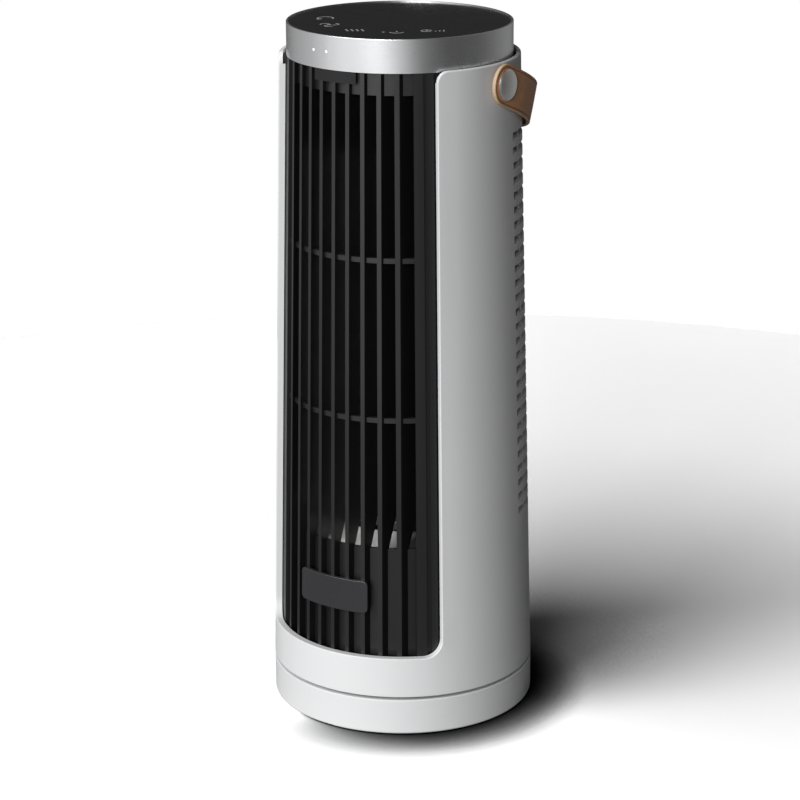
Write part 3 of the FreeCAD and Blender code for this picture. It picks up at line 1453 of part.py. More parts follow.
def top_ring():
    ring = body("top_ring")
    profile = sketch(ring, "XZ")
    rectangle(profile, RING_BORE, "ring_radius", "ring_low", "total_height")
    revolve(ring, profile)
    fillet(ring, "ring_edge_rounding", lambda edge: is_ring(edge, "ring_radius", "total_height"))
    light_holes(ring)
    return ring


CARRIER_RADIUS = f"({RING_BORE} - running_clearance)"


def control_panel():
    return cylinder("control_panel", CARRIER_RADIUS, PANEL_UNDER, PANEL_TOP)


def panel_carrier():
    """The frame under the touch panel: it stands on the top plate and keeps the sleeve round."""
    carrier = body("panel_carrier")
    wall = f"({CARRIER_RADIUS} - carrier_wall)"
    skirt = "(carrier_skirt_radius - carrier_wall)"
    shelf_edge, shelf_low = f"({wall} - 3)", f"({PANEL_UNDER} - carrier_wall)"
    profile = sketch(carrier, "XZ")
    outline(profile, (skirt, TOP_PLATE_TOP), ("carrier_skirt_radius", TOP_PLATE_TOP),
            ("carrier_skirt_radius", "ring_low"), (CARRIER_RADIUS, "ring_low"),
            (CARRIER_RADIUS, PANEL_UNDER), (shelf_edge, PANEL_UNDER), (shelf_edge, shelf_low),
            (wall, shelf_low), (wall, FLANGE_TOP), (skirt, FLANGE_TOP))
    revolve(carrier, profile)
    post = sketch(carrier, "XY", lift=FLANGE_TOP)
    circle(post, *around("board_post_circle", "45"), "board_post_radius")
    polar(carrier, pad(carrier, post, f"{BOARD_UNDER} - {FLANGE_TOP}"), "4")
    low = "(ring_low - spacer_height)"
    for angle in ("75", "130", "180", "230", "285"):
        spacer = sketch(carrier, "YZ", turn=angle)
        outline(spacer, ("-board_radius", low), (f"-({inside_shell(low, 'running_clearance')})", low),
                (f"-({inside_shell('ring_low', 'running_clearance')})", "ring_low"),
                ("-board_radius", "ring_low"))
        revolve(carrier, spacer, "spacer_thickness * 180 / (pi * shell_top_radius)")
    light_holes(carrier)
    return carrier


# ================================================================ handle
def mirrored(name, source):
    """The same solid on the other side of the tower."""
    new = doc.addObject("Part::Mirroring", name)
    new.Source = source
    new.Normal = FreeCAD.Vector(1, 0, 0)
    return new


def laid_along_x(turned):
    """Lay a body that was turned about the upright along +X at the level of the studs."""
    turned.Placement.Rotation = FreeCAD.Rotation(FreeCAD.Vector(0, 1, 0), 90)
    bind(turned, Placement__Base__z="stud_height")
    return turned


STRAP_OUTER = f"({STRAP_INNER} + strap_thickness)"
NUT_FACE = "(shell_top_radius - shell_wall - nut_gap)"


def handle_studs():
    """Domed studs that pin the strap's ends to the sleeve."""
    stud = body("handle_stud")
    profile = sketch(stud, "XZ")
    face = f"({STRAP_OUTER} + running_clearance)"
    collar = f"({STRAP_INNER} - running_clearance)"
    rim = f"({face} + stud_cap_height - stud_dome_rise)"
    dome = "((stud_cap_radius - stud_rim_rounding) ^ 2 + stud_dome_rise ^ 2) / (2 * stud_dome_rise)"
    outline(profile, ("0", f"{NUT_FACE} - nut_thickness - stud_end_reach"),
            ("stud_shank_radius", f"{NUT_FACE} - nut_thickness - stud_end_reach"),
            ("stud_shank_radius", f"{collar} - stud_foot_bevel"),
            ("stud_shank_radius + 2", f"{collar} - stud_foot_bevel"),
            ("stud_shank_radius + 2", collar), ("stud_shank_radius", collar), ("stud_shank_radius", face),
            ("stud_cap_radius - stud_foot_bevel", face), ("stud_cap_radius", f"{face} + stud_foot_bevel"),
            ("stud_cap_radius", f"{rim} - stud_rim_rounding"), ("stud_cap_radius - stud_rim_rounding", rim),
            ("0", f"{face} + stud_cap_height", dome))
    revolve(stud, profile)
    laid_along_x(stud)
    return group("handle_studs", [stud, mirrored("left_stud", stud)])


def stud_nuts():
    nut = tube("stud_nut", "nut_radius", "stud_shank_radius", f"{NUT_FACE} - nut_thickness", NUT_FACE,
               "0", "stud_height", along="x")
    return group("stud_nuts", [nut, mirrored("left_nut", nut)])


def flat_drawing(name, turned=False):
    """A loose sketch, in plan or seen from the right."""
    new = doc.addObject("Sketcher::SketchObject", name)
    if turned:
        new.Placement.Rotation = FreeCAD.Rotation(FreeCAD.Vector(1, 1, 1), 120)
    return new


def extrusion(name, drawing, direction, length):
    """A sketch swept straight, equally to both sides."""
    new = doc.addObject("Part::Extrusion", name)
    new.Base = drawing
    new.DirMode = "Custom"
    new.Dir = direction
    new.Solid = True
    new.Symmetric = True
    bind(new, LengthFwd=length)
    return new


def handle_strap():
    """A stiff leather band round the back of the tower, cut from a wall that leans outwards."""
    plan = flat_drawing("strap_plan")
    side_centre = f"({STRAP_OUTER} - strap_side_curve)"
    back_radius = f"({side_centre} / cos(strap_side_turn) + strap_side_curve)"
    sides = {}
    for name, inset in (("outer", "0"), ("inner", "strap_thickness")):
        side, back = f"(strap_side_curve - {inset})", f"({back_radius} - {inset})"
        join = (f"{side_centre} + {side} * cos(strap_side_turn)",
                f"strap_straight + {side} * sin(strap_side_turn)")
        sides[name] = (f"{side_centre} + {side}", join, side, back)
    outer_x, outer_join, outer_side, outer_back = sides["outer"]
    inner_x, inner_join, inner_side, inner_back = sides["inner"]
    outline(plan, (f"-({inner_x})", "-strap_width"), (f"-({outer_x})", "-strap_width"),
            (f"-({outer_x})", "strap_straight"), (f"-({outer_join[0]})", outer_join[1], f"-{outer_side}"),
            (*outer_join, f"-{outer_back}"), (outer_x, "strap_straight", f"-{outer_side}"),
            (outer_x, "-strap_width"), (inner_x, "-strap_width"), (inner_x, "strap_straight"),
            (*inner_join, inner_side), (f"-({inner_join[0]})", inner_join[1], inner_back),
            (f"-({inner_x})", "strap_straight", inner_side))
    bind(plan, Placement__Base__z="stud_height")
    wall = extrusion("strap_wall", plan, FreeCAD.Vector(0, 1, 1), "4 * base_radius")
    bind(wall, Dir__y="strap_lean", Dir__z="1")
    lengthwise = flat_drawing("strap_side", turned=True)
    half = "strap_width / 2"
    reach = "2 * base_radius"
    top = (f"{half} * sin(strap_droop)", f"stud_height + {half} * cos(strap_droop)")
    bottom = (f"-{half} * sin(strap_droop)", f"stud_height - {half} * cos(strap_droop)")
    nose = (f"-{half} * cos(strap_droop)", f"stud_height + {half} * sin(strap_droop)")
    outline(lengthwise, bottom, (*nose, f"-({half})"), (*top, f"-({half})"),
            (f"{top[0]} + {reach} * cos(strap_droop)", f"{top[1]} - {reach} * sin(strap_droop)"),
            (f"{bottom[0]} + {reach} * cos(strap_droop)", f"{bottom[1]} - {reach} * sin(strap_droop)"))
    slab = extrusion("strap_slab", lengthwise, FreeCAD.Vector(1, 0, 0), "4 * base_radius")
    common = doc.addObject("Part::MultiCommon", "strap_blank")
    common.Shapes = [wall, slab]
    holes = cylinder("strap_holes", "stud_shank_radius + running_clearance", "-base_radius - 20",
                     "base_radius + 20",
                     "0", "stud_height", along="x")
    return cut("handle_strap", common, holes)


# ================================================================ every piece, then the files
PIECES = (
    base_shell, base_plate, foot_ring, base_screws, ballast_plate, cord_gland,
    tip_over_plunger, tip_over_spring, tip_over_switch,
    swivel_bearing, swivel_retainer, retainer_screws,
    swing_ring_gear, swing_pinion, swing_shaft, swing_motor, swing_motor_screws,
    tower_chassis, motor_plate, motor_plate_screws, top_plate,
    scroll_casing, tongue_casing, outlet_deflector, dust_filter,
    blower_wheel, wheel_coupling, motor_shaft, wheel_axle, motor_rotor, blower_bearings,
    motor_lower_bell, motor_upper_bell, motor_stator, motor_windings,
    heater_frame, heater_fins, ceramic_elements, heater_terminals, thermal_cutout,
    power_board, power_relays, filter_capacitor, terminal_block, heater_leads,
    control_board, touch_pads, buzzer, indicator_lights,
    outer_shell, shell_screws, front_grille, display_window, nameplate,
    top_ring, control_panel, panel_carrier,
    handle_studs, stud_nuts, handle_strap,
)
made = {maker.__name__: maker() for maker in PIECES}
doc.recompute()

for item in doc.Objects:
    if "Invalid" in item.State or "Error" in item.State:
        raise RuntimeError(f"{item.Name} is {item.State}")
for name, piece in made.items():
    piece.Label = name
    if piece.Shape.isNull() or not piece.Shape.isValid() or not piece.Shape.Solids:
        raise RuntimeError(f"{name} has no sound shape")
os.makedirs("parts", exist_ok=True)
for name, piece in made.items():
    piece.Shape.exportStep(os.path.join("parts", name + ".step"))
    print(name, len(piece.Shape.Solids), round(piece.Shape.Volume, 1))
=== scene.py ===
"""Looks of a tall swinging fan heater: finishes for every solid, a leather strap, the marks on its touch panel,
and a plain studio with a pale floor. All lengths are in metres."""

import json
import math

import bpy
import numpy as np
from mathutils import Euler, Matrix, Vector


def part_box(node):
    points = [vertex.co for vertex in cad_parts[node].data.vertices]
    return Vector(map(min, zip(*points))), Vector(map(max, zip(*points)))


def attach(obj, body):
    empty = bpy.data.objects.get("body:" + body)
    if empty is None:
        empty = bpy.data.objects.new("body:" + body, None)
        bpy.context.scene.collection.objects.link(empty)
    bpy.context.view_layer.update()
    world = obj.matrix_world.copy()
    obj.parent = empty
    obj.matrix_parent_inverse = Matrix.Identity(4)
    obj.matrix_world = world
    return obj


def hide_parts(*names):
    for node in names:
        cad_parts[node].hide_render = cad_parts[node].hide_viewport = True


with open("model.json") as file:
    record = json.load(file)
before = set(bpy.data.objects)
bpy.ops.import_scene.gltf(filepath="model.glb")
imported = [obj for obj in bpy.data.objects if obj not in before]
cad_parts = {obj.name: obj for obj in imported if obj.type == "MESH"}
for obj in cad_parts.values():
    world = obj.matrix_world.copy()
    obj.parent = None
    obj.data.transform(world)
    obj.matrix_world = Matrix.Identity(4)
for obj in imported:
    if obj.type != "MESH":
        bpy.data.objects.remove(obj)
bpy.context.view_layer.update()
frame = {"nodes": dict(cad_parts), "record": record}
nodes = frame["nodes"]
MM = 0.001


# ================================================================ shader maths
class Signal:
    """A socket that carries a value; arithmetic on it adds Math nodes."""

    def __init__(self, graph, socket):
        self.graph = graph
        self.socket = socket

    def __add__(self, other):
        return self.graph.maths("ADD", self, other)

    def __sub__(self, other):
        return self.graph.maths("SUBTRACT", self, other)

    def __rsub__(self, other):
        return self.graph.maths("SUBTRACT", other, self)

    def __mul__(self, other):
        return self.graph.maths("MULTIPLY", self, other)

    def __truediv__(self, other):
        return self.graph.maths("DIVIDE", self, other)

    def __pow__(self, other):
        return self.graph.maths("POWER", self, other)

    __radd__ = __add__
    __rmul__ = __mul__

    def beside(self, output):
        """Another output of the same node."""
        return Signal(self.graph, self.socket.node.outputs[output])

    def clipped(self):
        """The value held between 0 and 1."""
        return self.graph.node("Clamp", {}, {0: self})


class Graph:
    """The nodes of one material or of the world."""

    def __init__(self, tree):
        self.tree = tree
        tree.nodes.clear()

    def node(self, kind, settings=None, sockets=None, output=0):
        """Adds a shader node: its settings first, then the value or the link of each socket."""
        made = self.tree.nodes.new("ShaderNode" + kind)
        for name, setting in (settings or {}).items():
            if name == "stops":
                stops = made.color_ramp.elements
                while len(stops) < len(setting):
                    stops.new(1)
                for stop, (place, colour) in zip(stops, setting):
                    stop.position = place
                    stop.color = (*colour, 1)
            else:
                setattr(made, name, setting)
        for key, value in (sockets or {}).items():
            socket = made.inputs[key]
            if isinstance(value, Signal):
                self.tree.links.new(value.socket, socket)
            elif isinstance(value, tuple) and socket.type == "RGBA":
                socket.default_value = (*value, 1)
            else:
                socket.default_value = value
        return Signal(self, made.outputs[output] if made.outputs else None)

    def maths(self, operation, *values):
        return self.node("Math", {"operation": operation}, dict(enumerate(values)))

    def mixed(self, factor, first, second):
        """A colour that goes from first to second as factor goes from 0 to 1."""
        return self.node("Mix", {"data_type": "RGBA"}, {0: factor, 6: first, 7: second}, 2)

    def place(self, stretch=(1, 1, 1), turn=(0, 0, 0)):
        """Object coordinates, turned and stretched by a factor along each axis."""
        where = self.node("TexCoord").beside("Object")
        return self.node("Mapping", {}, {"Vector": where, "Scale": stretch, "Rotation": turn})

    def spot(self):
        """The x of the object coordinates, with Y and Z beside it."""
        return self.node("SeparateXYZ", {}, {"Vector": self.node("TexCoord").beside("Object")})

    def noise(self, scale, where=None, detail=2.0, roughness=0.5):
        """Cloudy noise between 0 and 1, with so many clouds to the metre."""
        return self.node("TexNoise", {}, {
            "Vector": where or self.place(), "Scale": scale, "Detail": detail, "Roughness": roughness})

    def spread(self, value, low, high, start=0.0, end=1.0):
        """The value carried evenly from low..high to start..end, and held there."""
        return self.node("MapRange", {}, {0: value, 1: low, 2: high, 3: start, 4: end})

    def bump(self, height, depth, below=None):
        """Normals of a surface raised by height times depth, in metres, on top of another bump."""
        sockets = {"Strength": 1.0, "Distance": depth, "Height": height}
        if below is not None:
            sockets["Normal"] = below
        return self.node("Bump", {}, sockets)


def finish(name, paint):
    """A material; paint(graph) gives the sockets of its Principled shader."""
    material = bpy.data.materials.new(name)
    material.use_nodes = True
    graph = Graph(material.node_tree)
    shader = graph.node("BsdfPrincipled", {}, paint(graph))
    graph.node("OutputMaterial", {}, {"Surface": shader})
    return material


# ================================================================ finishes
MOTTLE = 0.03
# middle and half width of the lit patch on the pale sheet behind the fins, and the distance from that middle at which
# painted shade makes the sheet near black
LIT_PATCH_MIDDLE = 10.0 * MM
LIT_PATCH_HALF = 12.0 * MM
PAINTED_SHADE_FROM = 25.0 * MM
STUD_HEIGHT = 389.0 * MM


def moulded(colour, roughness, grain=1800.0, depth=0.00003):
    """Moulded plastic: fine spark-eroded grain, and a colour and gloss that drift slightly over the piece."""
    def paint(g):
        drift = g.noise(14.0, detail=1.0)
        fine = g.noise(grain, detail=3.0)
        pale = tuple(min(1.0, c * (1 + MOTTLE)) for c in colour)
        deep = tuple(c * (1 - MOTTLE) for c in colour)
        return {
            "Base Color": g.mixed(drift, deep, pale),
            "Roughness": g.spread(fine * 0.5 + drift * 0.5, 0.3, 0.7, roughness - 0.04, roughness + 0.04),
            "Normal": g.bump(fine, depth)}
    return paint


def shaded_sheet(g):
    """Pale sheet behind the fins with painted shade: outside a lit patch in the middle its colour goes to near black,
    for the shade that the fins and the outlet's wall cast on its ends.
    """
    sockets = moulded((0.84, 0.83, 0.81), 0.45)(g)
    across = g.spot() - LIT_PATCH_MIDDLE
    dust_and_painted_shade = g.spread((across * across) ** 0.5, LIT_PATCH_HALF, PAINTED_SHADE_FROM)
    # painted shade: towards both ends the sheet's colour goes to near black, for the shade of the fins and the
    # outlet's wall
    sockets["Base Color"] = g.mixed(dust_and_painted_shade, sockets["Base Color"], (0.05, 0.05, 0.05))
    return sockets


def brushed(colour, roughness, stretch, grain=900.0, depth=0.000012, dull=0.12):
    """Metal brushed along one direction: noise squeezed across the brush marks."""
    def paint(g):
        marks = g.noise(grain, g.place(stretch), detail=4.0)
        cloud = g.noise(30.0, detail=2.0)
        deep = tuple(c * (1 - dull) for c in colour)
        return {
            "Base Color": g.mixed(g.spread(marks, 0.3, 0.7), deep, colour),
            "Metallic": 1.0,
            "Roughness": g.spread(marks * 0.6 + cloud * 0.4, 0.3, 0.7, roughness - 0.05, roughness + 0.06),
            "Normal": g.bump(marks, depth)}
    return paint


def turned_metal(g):
    """Satin stud: brush marks run round the stud's axis, so the noise follows the distance from it."""
    spot = g.spot()
    across = spot.beside("Y")
    up = spot.beside("Z") - STUD_HEIGHT
    reach = (across * across + up * up) ** 0.5
    rings = g.node("TexNoise", {"noise_dimensions": "1D"}, {"W": reach, "Scale": 5200.0, "Detail": 3.0})
    wear = g.noise(260.0, detail=3.0)
    return {
        "Base Color": g.mixed(g.spread(rings, 0.3, 0.7), (0.80, 0.775, 0.74), (0.97, 0.945, 0.91)),
        "Metallic": 1.0,
        "Roughness": g.spread(rings * 0.6 + wear * 0.4, 0.3, 0.7, 0.24, 0.40),
        "Normal": g.bump(rings, 0.00001)}


def touch_glass(colour, roughness):
    """Black hard-coated panel: a clear gloss coat with faint wipe marks over a dark body."""
    def paint(g):
        wipes = g.noise(22.0, g.place((1.0, 3.0, 1.0), (0, 0, 0.5)), detail=4.0)
        dust_and_painted_shade = g.spread(g.noise(2400.0, detail=1.0), 0.72, 0.78)
        return {
            "Base Color": g.mixed(dust_and_painted_shade, colour, tuple(c * 2.2 for c in colour)),
            "Roughness": g.spread(wipes, 0.3, 0.7, roughness - 0.05, roughness + 0.07),
            "Specular IOR Level": 0.35,
            "Coat Weight": 0.10,
            "Coat Roughness": 0.12,
            "Normal": g.bump(g.noise(60.0, detail=1.0), 0.00001)}
    return paint


def lamp_glow(g):
    """Light pipe that shines white, a little uneven over its end."""
    core = g.noise(900.0, detail=1.0)
    return {
        "Base Color": (0.85, 0.86, 0.90),
        "Roughness": 0.25,
        "Emission Color": g.mixed(core, (0.86, 0.93, 1.0), (1.0, 1.0, 1.0)),
        "Emission Strength": 0.6}


def tanned(g):
    """Strap leather: fine pebbling in two sizes, a mottled brown face, a dark pressed line, and a pale cut edge."""
    rim = g.node("Attribute", {"attribute_name": "rim"}).beside("Fac")
    press = g.node("Attribute", {"attribute_name": "press"}).beside("Fac")
    cloud = g.noise(70.0, detail=4.0, roughness=0.6)
    pores = g.node("TexVoronoi", {"feature": "DISTANCE_TO_EDGE"}, {"Vector": g.place(), "Scale": 900.0})
    fine = g.noise(2600.0, detail=3.0)
    fibre = g.noise(900.0, g.place((1, 1, 0.25)), detail=3.0)
    pebble = g.spread(pores, 0.0, 0.35) * 0.7 + fine * 0.3
    face = g.mixed(g.spread(cloud, 0.3, 0.7), (0.66, 0.320, 0.150), (0.80, 0.425, 0.215))
    face = g.mixed((1 - g.spread(pores, 0.0, 0.18)) * 0.45, face, (0.42, 0.195, 0.090))
    face = g.mixed(press * 0.7, face, (0.110, 0.052, 0.026))
    edge = g.mixed(fibre, (0.50, 0.36, 0.22), (0.66, 0.51, 0.34))
    return {
        "Base Color": g.mixed(rim, face, edge),
        "Roughness": g.spread(pebble, 0.0, 1.0, 0.58, 0.42) + rim * 0.12,
        "Specular IOR Level": 0.4,
        "Normal": g.bump(fibre * rim + pebble * (1 - rim), 0.00006)}


def printed_ink(g):
    """Pale grey ink, slightly broken up at its edges."""
    speck = g.noise(1500.0, detail=2.0)
    return {
        "Base Color": g.mixed(speck, (0.34, 0.34, 0.35), (0.50, 0.50, 0.51)),
        "Roughness": g.spread(speck, 0.3, 0.7, 0.45, 0.6)}


def wound_copper(g):
    """Enamelled winding: the turns lie side by side, so bands run across the bundle."""
    turns = g.node("TexWave", {"wave_type": "BANDS", "bands_direction": "Z"}, {
        "Vector": g.place(), "Scale": 520.0, "Distortion": 1.2, "Detail": 1.0, "Detail Scale": 2.0})
    return {
        "Base Color": g.mixed(turns, (0.40, 0.13, 0.05), (0.78, 0.36, 0.17)),
        "Metallic": 0.85,
        "Roughness": g.spread(turns, 0.0, 1.0, 0.42, 0.26),
        "Coat Weight": 0.5,
        "Normal": g.bump(turns, 0.00012)}


def lead_sleeve(g):
    """Heat-proof sleeving on the heater's leads: a fine slanting braid."""
    braid = g.node("TexWave", {"wave_type": "BANDS", "bands_direction": "DIAGONAL"}, {
        "Vector": g.place(), "Scale": 420.0, "Distortion": 0.6})
    return {
        "Base Color": g.mixed(braid, (0.46, 0.13, 0.08), (0.62, 0.22, 0.14)),
        "Roughness": g.spread(braid, 0.0, 1.0, 0.75, 0.6),
        "Normal": g.bump(braid, 0.00015)}


def fired_clay(g):
    """Unglazed ceramic: a chalky body with sparse darker specks."""
    speck = g.spread(g.noise(1300.0, detail=2.0), 0.66, 0.74)
    chalk = g.noise(90.0, detail=4.0)
    body = g.mixed(chalk, (0.70, 0.66, 0.58), (0.83, 0.80, 0.73))
    return {
        "Base Color": g.mixed(speck * 0.6, body, (0.42, 0.36, 0.30)),
        "Roughness": g.spread(chalk, 0.2, 0.8, 0.74, 0.86),
        "Normal": g.bump(g.noise(1700.0, detail=3.0), 0.00005)}


def solder_mask(g):
    """Circuit board: tracks under green lacquer, slightly raised and lighter."""
    tracks = g.node("TexBrick", {"offset": 0.37, "squash": 0.6}, {
        "Vector": g.place(), "Scale": 130.0, "Mortar Size": 0.05, "Brick Width": 0.9,
        "Row Height": 0.22}).beside("Fac")
    cloud = g.noise(50.0, detail=2.0)
    body = g.mixed(cloud, (0.012, 0.105, 0.045), (0.020, 0.150, 0.065))
    return {
        "Base Color": g.mixed(tracks * 0.7, body, (0.060, 0.300, 0.130)),
        "Roughness": g.spread(cloud, 0.3, 0.7, 0.30, 0.40),
        "Coat Weight": 0.4,
        "Normal": g.bump(tracks, 0.00005)}


def woven_net(g):
    """Filter net: two sets of threads that cross, upright and level, each a row of rounded ridges."""
    level, upright = (g.node("TexWave", {"wave_type": "BANDS", "bands_direction": axis}, {
        "Vector": g.place(), "Scale": 260.0}) for axis in "ZX")
    thread = g.maths("MAXIMUM", level, upright)
    return {
        "Base Color": g.mixed(thread, (0.010, 0.010, 0.011), (0.13, 0.13, 0.135)),
        "Roughness": g.spread(thread, 0.0, 1.0, 0.85, 0.55),
        "Normal": g.bump(thread, 0.0003)}


FINISHES = {
    "white_plastic": moulded((0.735, 0.74, 0.745), 0.46),
    "dark_plastic": moulded((0.012, 0.012, 0.013), 0.36, depth=0.00002),
    "light_plastic": moulded((0.64, 0.63, 0.61), 0.45),
    "grey_plastic": moulded((0.045, 0.045, 0.047), 0.55),
    "panel_black": touch_glass((0.0095, 0.0095, 0.010), 0.30),
    "window_black": touch_glass((0.008, 0.008, 0.009), 0.16),
    "light_pipe": lamp_glow,
    "anodised_ring": brushed((0.76, 0.765, 0.775), 0.30, (1, 1, 26), grain=260.0, depth=0.000002, dull=0.03),
    "bare_aluminium": brushed((0.76, 0.76, 0.77), 0.36, (1, 8, 1)),
    "steel": brushed((0.52, 0.52, 0.53), 0.34, (1, 1, 9)),
    "stud_steel": turned_metal,
    "copper": wound_copper,
    "ceramic": fired_clay,
    "board_green": solder_mask,
    "filter_mesh": woven_net,
    "foot_rubber": moulded((0.020, 0.020, 0.020), 0.82, grain=1100.0, depth=0.00008),
    "tan_leather": tanned,
}
OWN_FINISHES = {
    "nameplate": moulded((0.030, 0.030, 0.032), 0.28, grain=2600.0, depth=0.00001),
    "heater_leads": lead_sleeve,
    "outlet_deflector": shaded_sheet,
    "blower_wheel": moulded((0.015, 0.015, 0.016), 0.42),
}
finishes = {name: finish(name, paint) for name, paint in FINISHES.items()}
for part in frame["record"]["subparts"]:
    name = part["node"]
    shown = finish(name + "_finish", OWN_FINISHES[name]) if name in OWN_FINISHES else finishes[part["material_slot"]]
    for place in nodes[name].material_slots:
        place.material = shown


# ================================================================ meshes
def surface(name, points, faces, material, body):
    """A piece whose points are given in the model's frame, and which rides on a body of the model. The faces are
    turned over if the volume that they enclose, a sum of the products of each face's corners, is below nought."""
    corners = [(face[0], face[i], face[i + 1]) for face in faces for i in range(1, len(face) - 1)]
    a, b, c = np.asarray(points)[np.array(corners).T]
    if np.einsum("ij,ij->i", a, np.cross(b, c)).sum() < 0:
        faces = [face[::-1] for face in faces]
    mesh = bpy.data.meshes.new(name)
    mesh.from_pydata(points, [], faces)
    mesh.polygons.foreach_set("use_smooth", np.full(len(mesh.polygons), True))
    mesh.materials.append(material)
    mesh.update()
    piece = bpy.data.objects.new(name, mesh)
    bpy.context.scene.collection.objects.link(piece)
    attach(piece, body)
    return piece


def loop_faces(rows, columns):
    """Four corner numbers of each cell between loops of points, numbered loop by loop; a row is one closed loop."""
    row, column = np.meshgrid(np.arange(rows - 1) * columns, np.arange(columns), indexing="ij")
    beside = (column + 1) % columns
    cells = np.stack([row + column, row + beside, row + columns + beside, row + columns + column], -1)
    return cells.reshape(-1, 4)


# ================================================================ strap
HALF_WIDTH = 12.1 * MM
THICKNESS = 2.4 * MM
DROOP = math.radians(22.5)
LEAN = 0.36
BACK_PER_LENGTH = math.cos(DROOP) + LEAN * math.sin(DROOP)
BACK_PER_WIDTH = math.sin(DROOP) - LEAN * math.cos(DROOP)
STRAIGHT_END = 11.0 * MM
SIDE_X = 74.4 * MM
SIDE_RADIUS = 90.0 * MM
SIDE_CENTRE = (SIDE_X - SIDE_RADIUS, STRAIGHT_END)
SIDE_TURN = math.radians(56.0)
BACK_CENTRE = (0.0, STRAIGHT_END - SIDE_CENTRE[0] * math.tan(SIDE_TURN))
BACK_RADIUS = SIDE_RADIUS + SIDE_CENTRE[0] / math.cos(SIDE_TURN)
BACK_TURN = math.pi / 2 - SIDE_TURN
BACK_LENGTH = BACK_RADIUS * BACK_TURN
CURVED_LENGTH = BACK_LENGTH + SIDE_RADIUS * SIDE_TURN
STUD_REACH = CURVED_LENGTH + STRAIGHT_END
EDGE_ROUNDING = 0.6 * MM
CROWN = 0.10 * MM
PRESS_INSET = 1.65 * MM
PRESS_DEPTH = 0.32 * MM
PRESS_WIDTH = 0.27 * MM
STAIN_WIDTH = 0.5 * MM
RIM_END = 0.5 * MM
RIM_FADE = 0.2 * MM
END_STEPS = 32
RUN_STEPS = 180


def strap_plan(along, depth):
    """Plan of the strap: along is the length from the middle of the back, and depth the distance under the face.
    The line is an arc behind the tower, a wider arc at each side and a straight run to each stud."""
    side = np.sign(along)
    run = np.abs(along)
    back = run / BACK_RADIUS
    turn = math.pi / 2 - BACK_TURN - (run - BACK_LENGTH) / SIDE_RADIUS
    x = np.where(
        run < BACK_LENGTH, BACK_CENTRE[0] + (BACK_RADIUS - depth) * np.sin(back),
        np.where(run < CURVED_LENGTH, SIDE_CENTRE[0] + (SIDE_RADIUS - depth) * np.cos(turn), SIDE_X - depth))
    y = np.where(
        run < BACK_LENGTH, BACK_CENTRE[1] + (BACK_RADIUS - depth) * np.cos(back),
        np.where(run < CURVED_LENGTH, SIDE_CENTRE[1] + (SIDE_RADIUS - depth) * np.sin(turn),
                 STRAIGHT_END - (run - CURVED_LENGTH)))
    return side * x, y


def strap_point(along, across, depth):
    """A point of the strap: the plan rises on a leaning wall, and the strap droops towards the back, so the height
    follows from the distance across it and from how far back the plan has gone."""
    x, y = strap_plan(along, depth)
    rise = (across - math.sin(DROOP) * y) / BACK_PER_LENGTH
    return np.stack([x, y + LEAN * rise, STUD_HEIGHT + rise], -1)


def strap_mesh():
    """Loops that run round the strap at even distances from its outline: two long runs and a half circle about each
    stud. The loops close in to the middle line on the face and on the back, and a cut edge joins the two."""
    inset = np.array([0, .05, .12, .25, .42, .6, .8, 1.0, 1.2, 1.35, 1.5, 1.65, 1.8, 1.95, 2.1, 2.3, 2.6, 3.2, 4.2,
                      5.6, 7.2, 9.0, 10.8]) * MM
    short = np.clip(1 - inset / EDGE_ROUNDING, 0, 1)
    drop = EDGE_ROUNDING * (1 - np.sqrt(1 - short ** 2))
    groove = PRESS_DEPTH * np.exp(-((inset - PRESS_INSET) / PRESS_WIDTH) ** 2)
    face = drop + groove + CROWN * (1 - np.clip(inset / HALF_WIDTH, 0, 1))
    depths = np.concatenate([face[::-1], [THICKNESS / 2], THICKNESS - drop])
    insets = np.concatenate([inset[::-1], [0.0], inset])
    theta = np.linspace(-math.pi / 2, math.pi / 2, END_STEPS + 1)[:-1]
    share = np.linspace(1, -1, RUN_STEPS + 1)[:-1]
    radius = (HALF_WIDTH - insets)[:, None]

    def half(sign):
        """One end and the long run after it; sign is 1 for the end on +x."""
        length = -radius * np.cos(theta)
        across = radius * np.sin(theta) * sign
        around = sign * (STUD_REACH - (length * BACK_PER_LENGTH + across * BACK_PER_WIDTH))
        edge = sign * radius + 0 * share
        reach = STUD_REACH - edge * BACK_PER_WIDTH
        return np.concatenate([around, sign * reach * share], 1), np.concatenate([across, edge], 1)

    first, second = half(1), half(-1)
    along = np.concatenate([first[0], second[0]], 1)
    across = np.concatenate([first[1], second[1]], 1)
    points = strap_point(along, across, np.broadcast_to(depths[:, None], along.shape))
    rows, columns = along.shape
    rim = np.repeat(np.clip((RIM_END - insets) / RIM_FADE, 0, 1), columns)
    press = np.repeat(np.exp(-((insets - PRESS_INSET) / STAIN_WIDTH) ** 2), columns)
    return points.reshape(-1, 3), loop_faces(rows, columns), rim, press, columns


def close_middle(count, columns):
    """Faces across the first and the last loop, which are long slots: the two runs of a loop face each other, and each
    end is one face. The first lies on the strap's face and the last on its back, so they're wound opposite ways."""
    faces = []
    half = END_STEPS + RUN_STEPS
    for start, turned in ((0, True), (count - columns, False)):
        loop = np.arange(columns) + start
        right_end, top = loop[:END_STEPS + 1], loop[END_STEPS:half + 1]
        left_end = loop[half:half + END_STEPS + 1]
        bottom = np.concatenate([loop[half + END_STEPS:], loop[:1]])[::-1]
        strip = np.stack([top[:-1], top[1:], bottom[1:], bottom[:-1]], -1)
        ring = [list(right_end), list(left_end)] + strip.tolist()
        faces += [face[::-1] if turned else face for face in ring]
    return faces


def leather_strap():
    """The strap, with what its leather reads at each point: how near the cut edge and how near the pressed line."""
    points, faces, rim, press, columns = strap_mesh()
    faces = faces.tolist() + close_middle(len(points), columns)
    piece = surface("leather_strap", points, faces, finishes["tan_leather"], "handle")
    for name, values in (("rim", rim), ("press", press)):
        kept = piece.data.attributes.new(name, "FLOAT", "POINT")
        kept.data.foreach_set("value", values.astype(np.float32))
    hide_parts("handle_strap")


leather_strap()


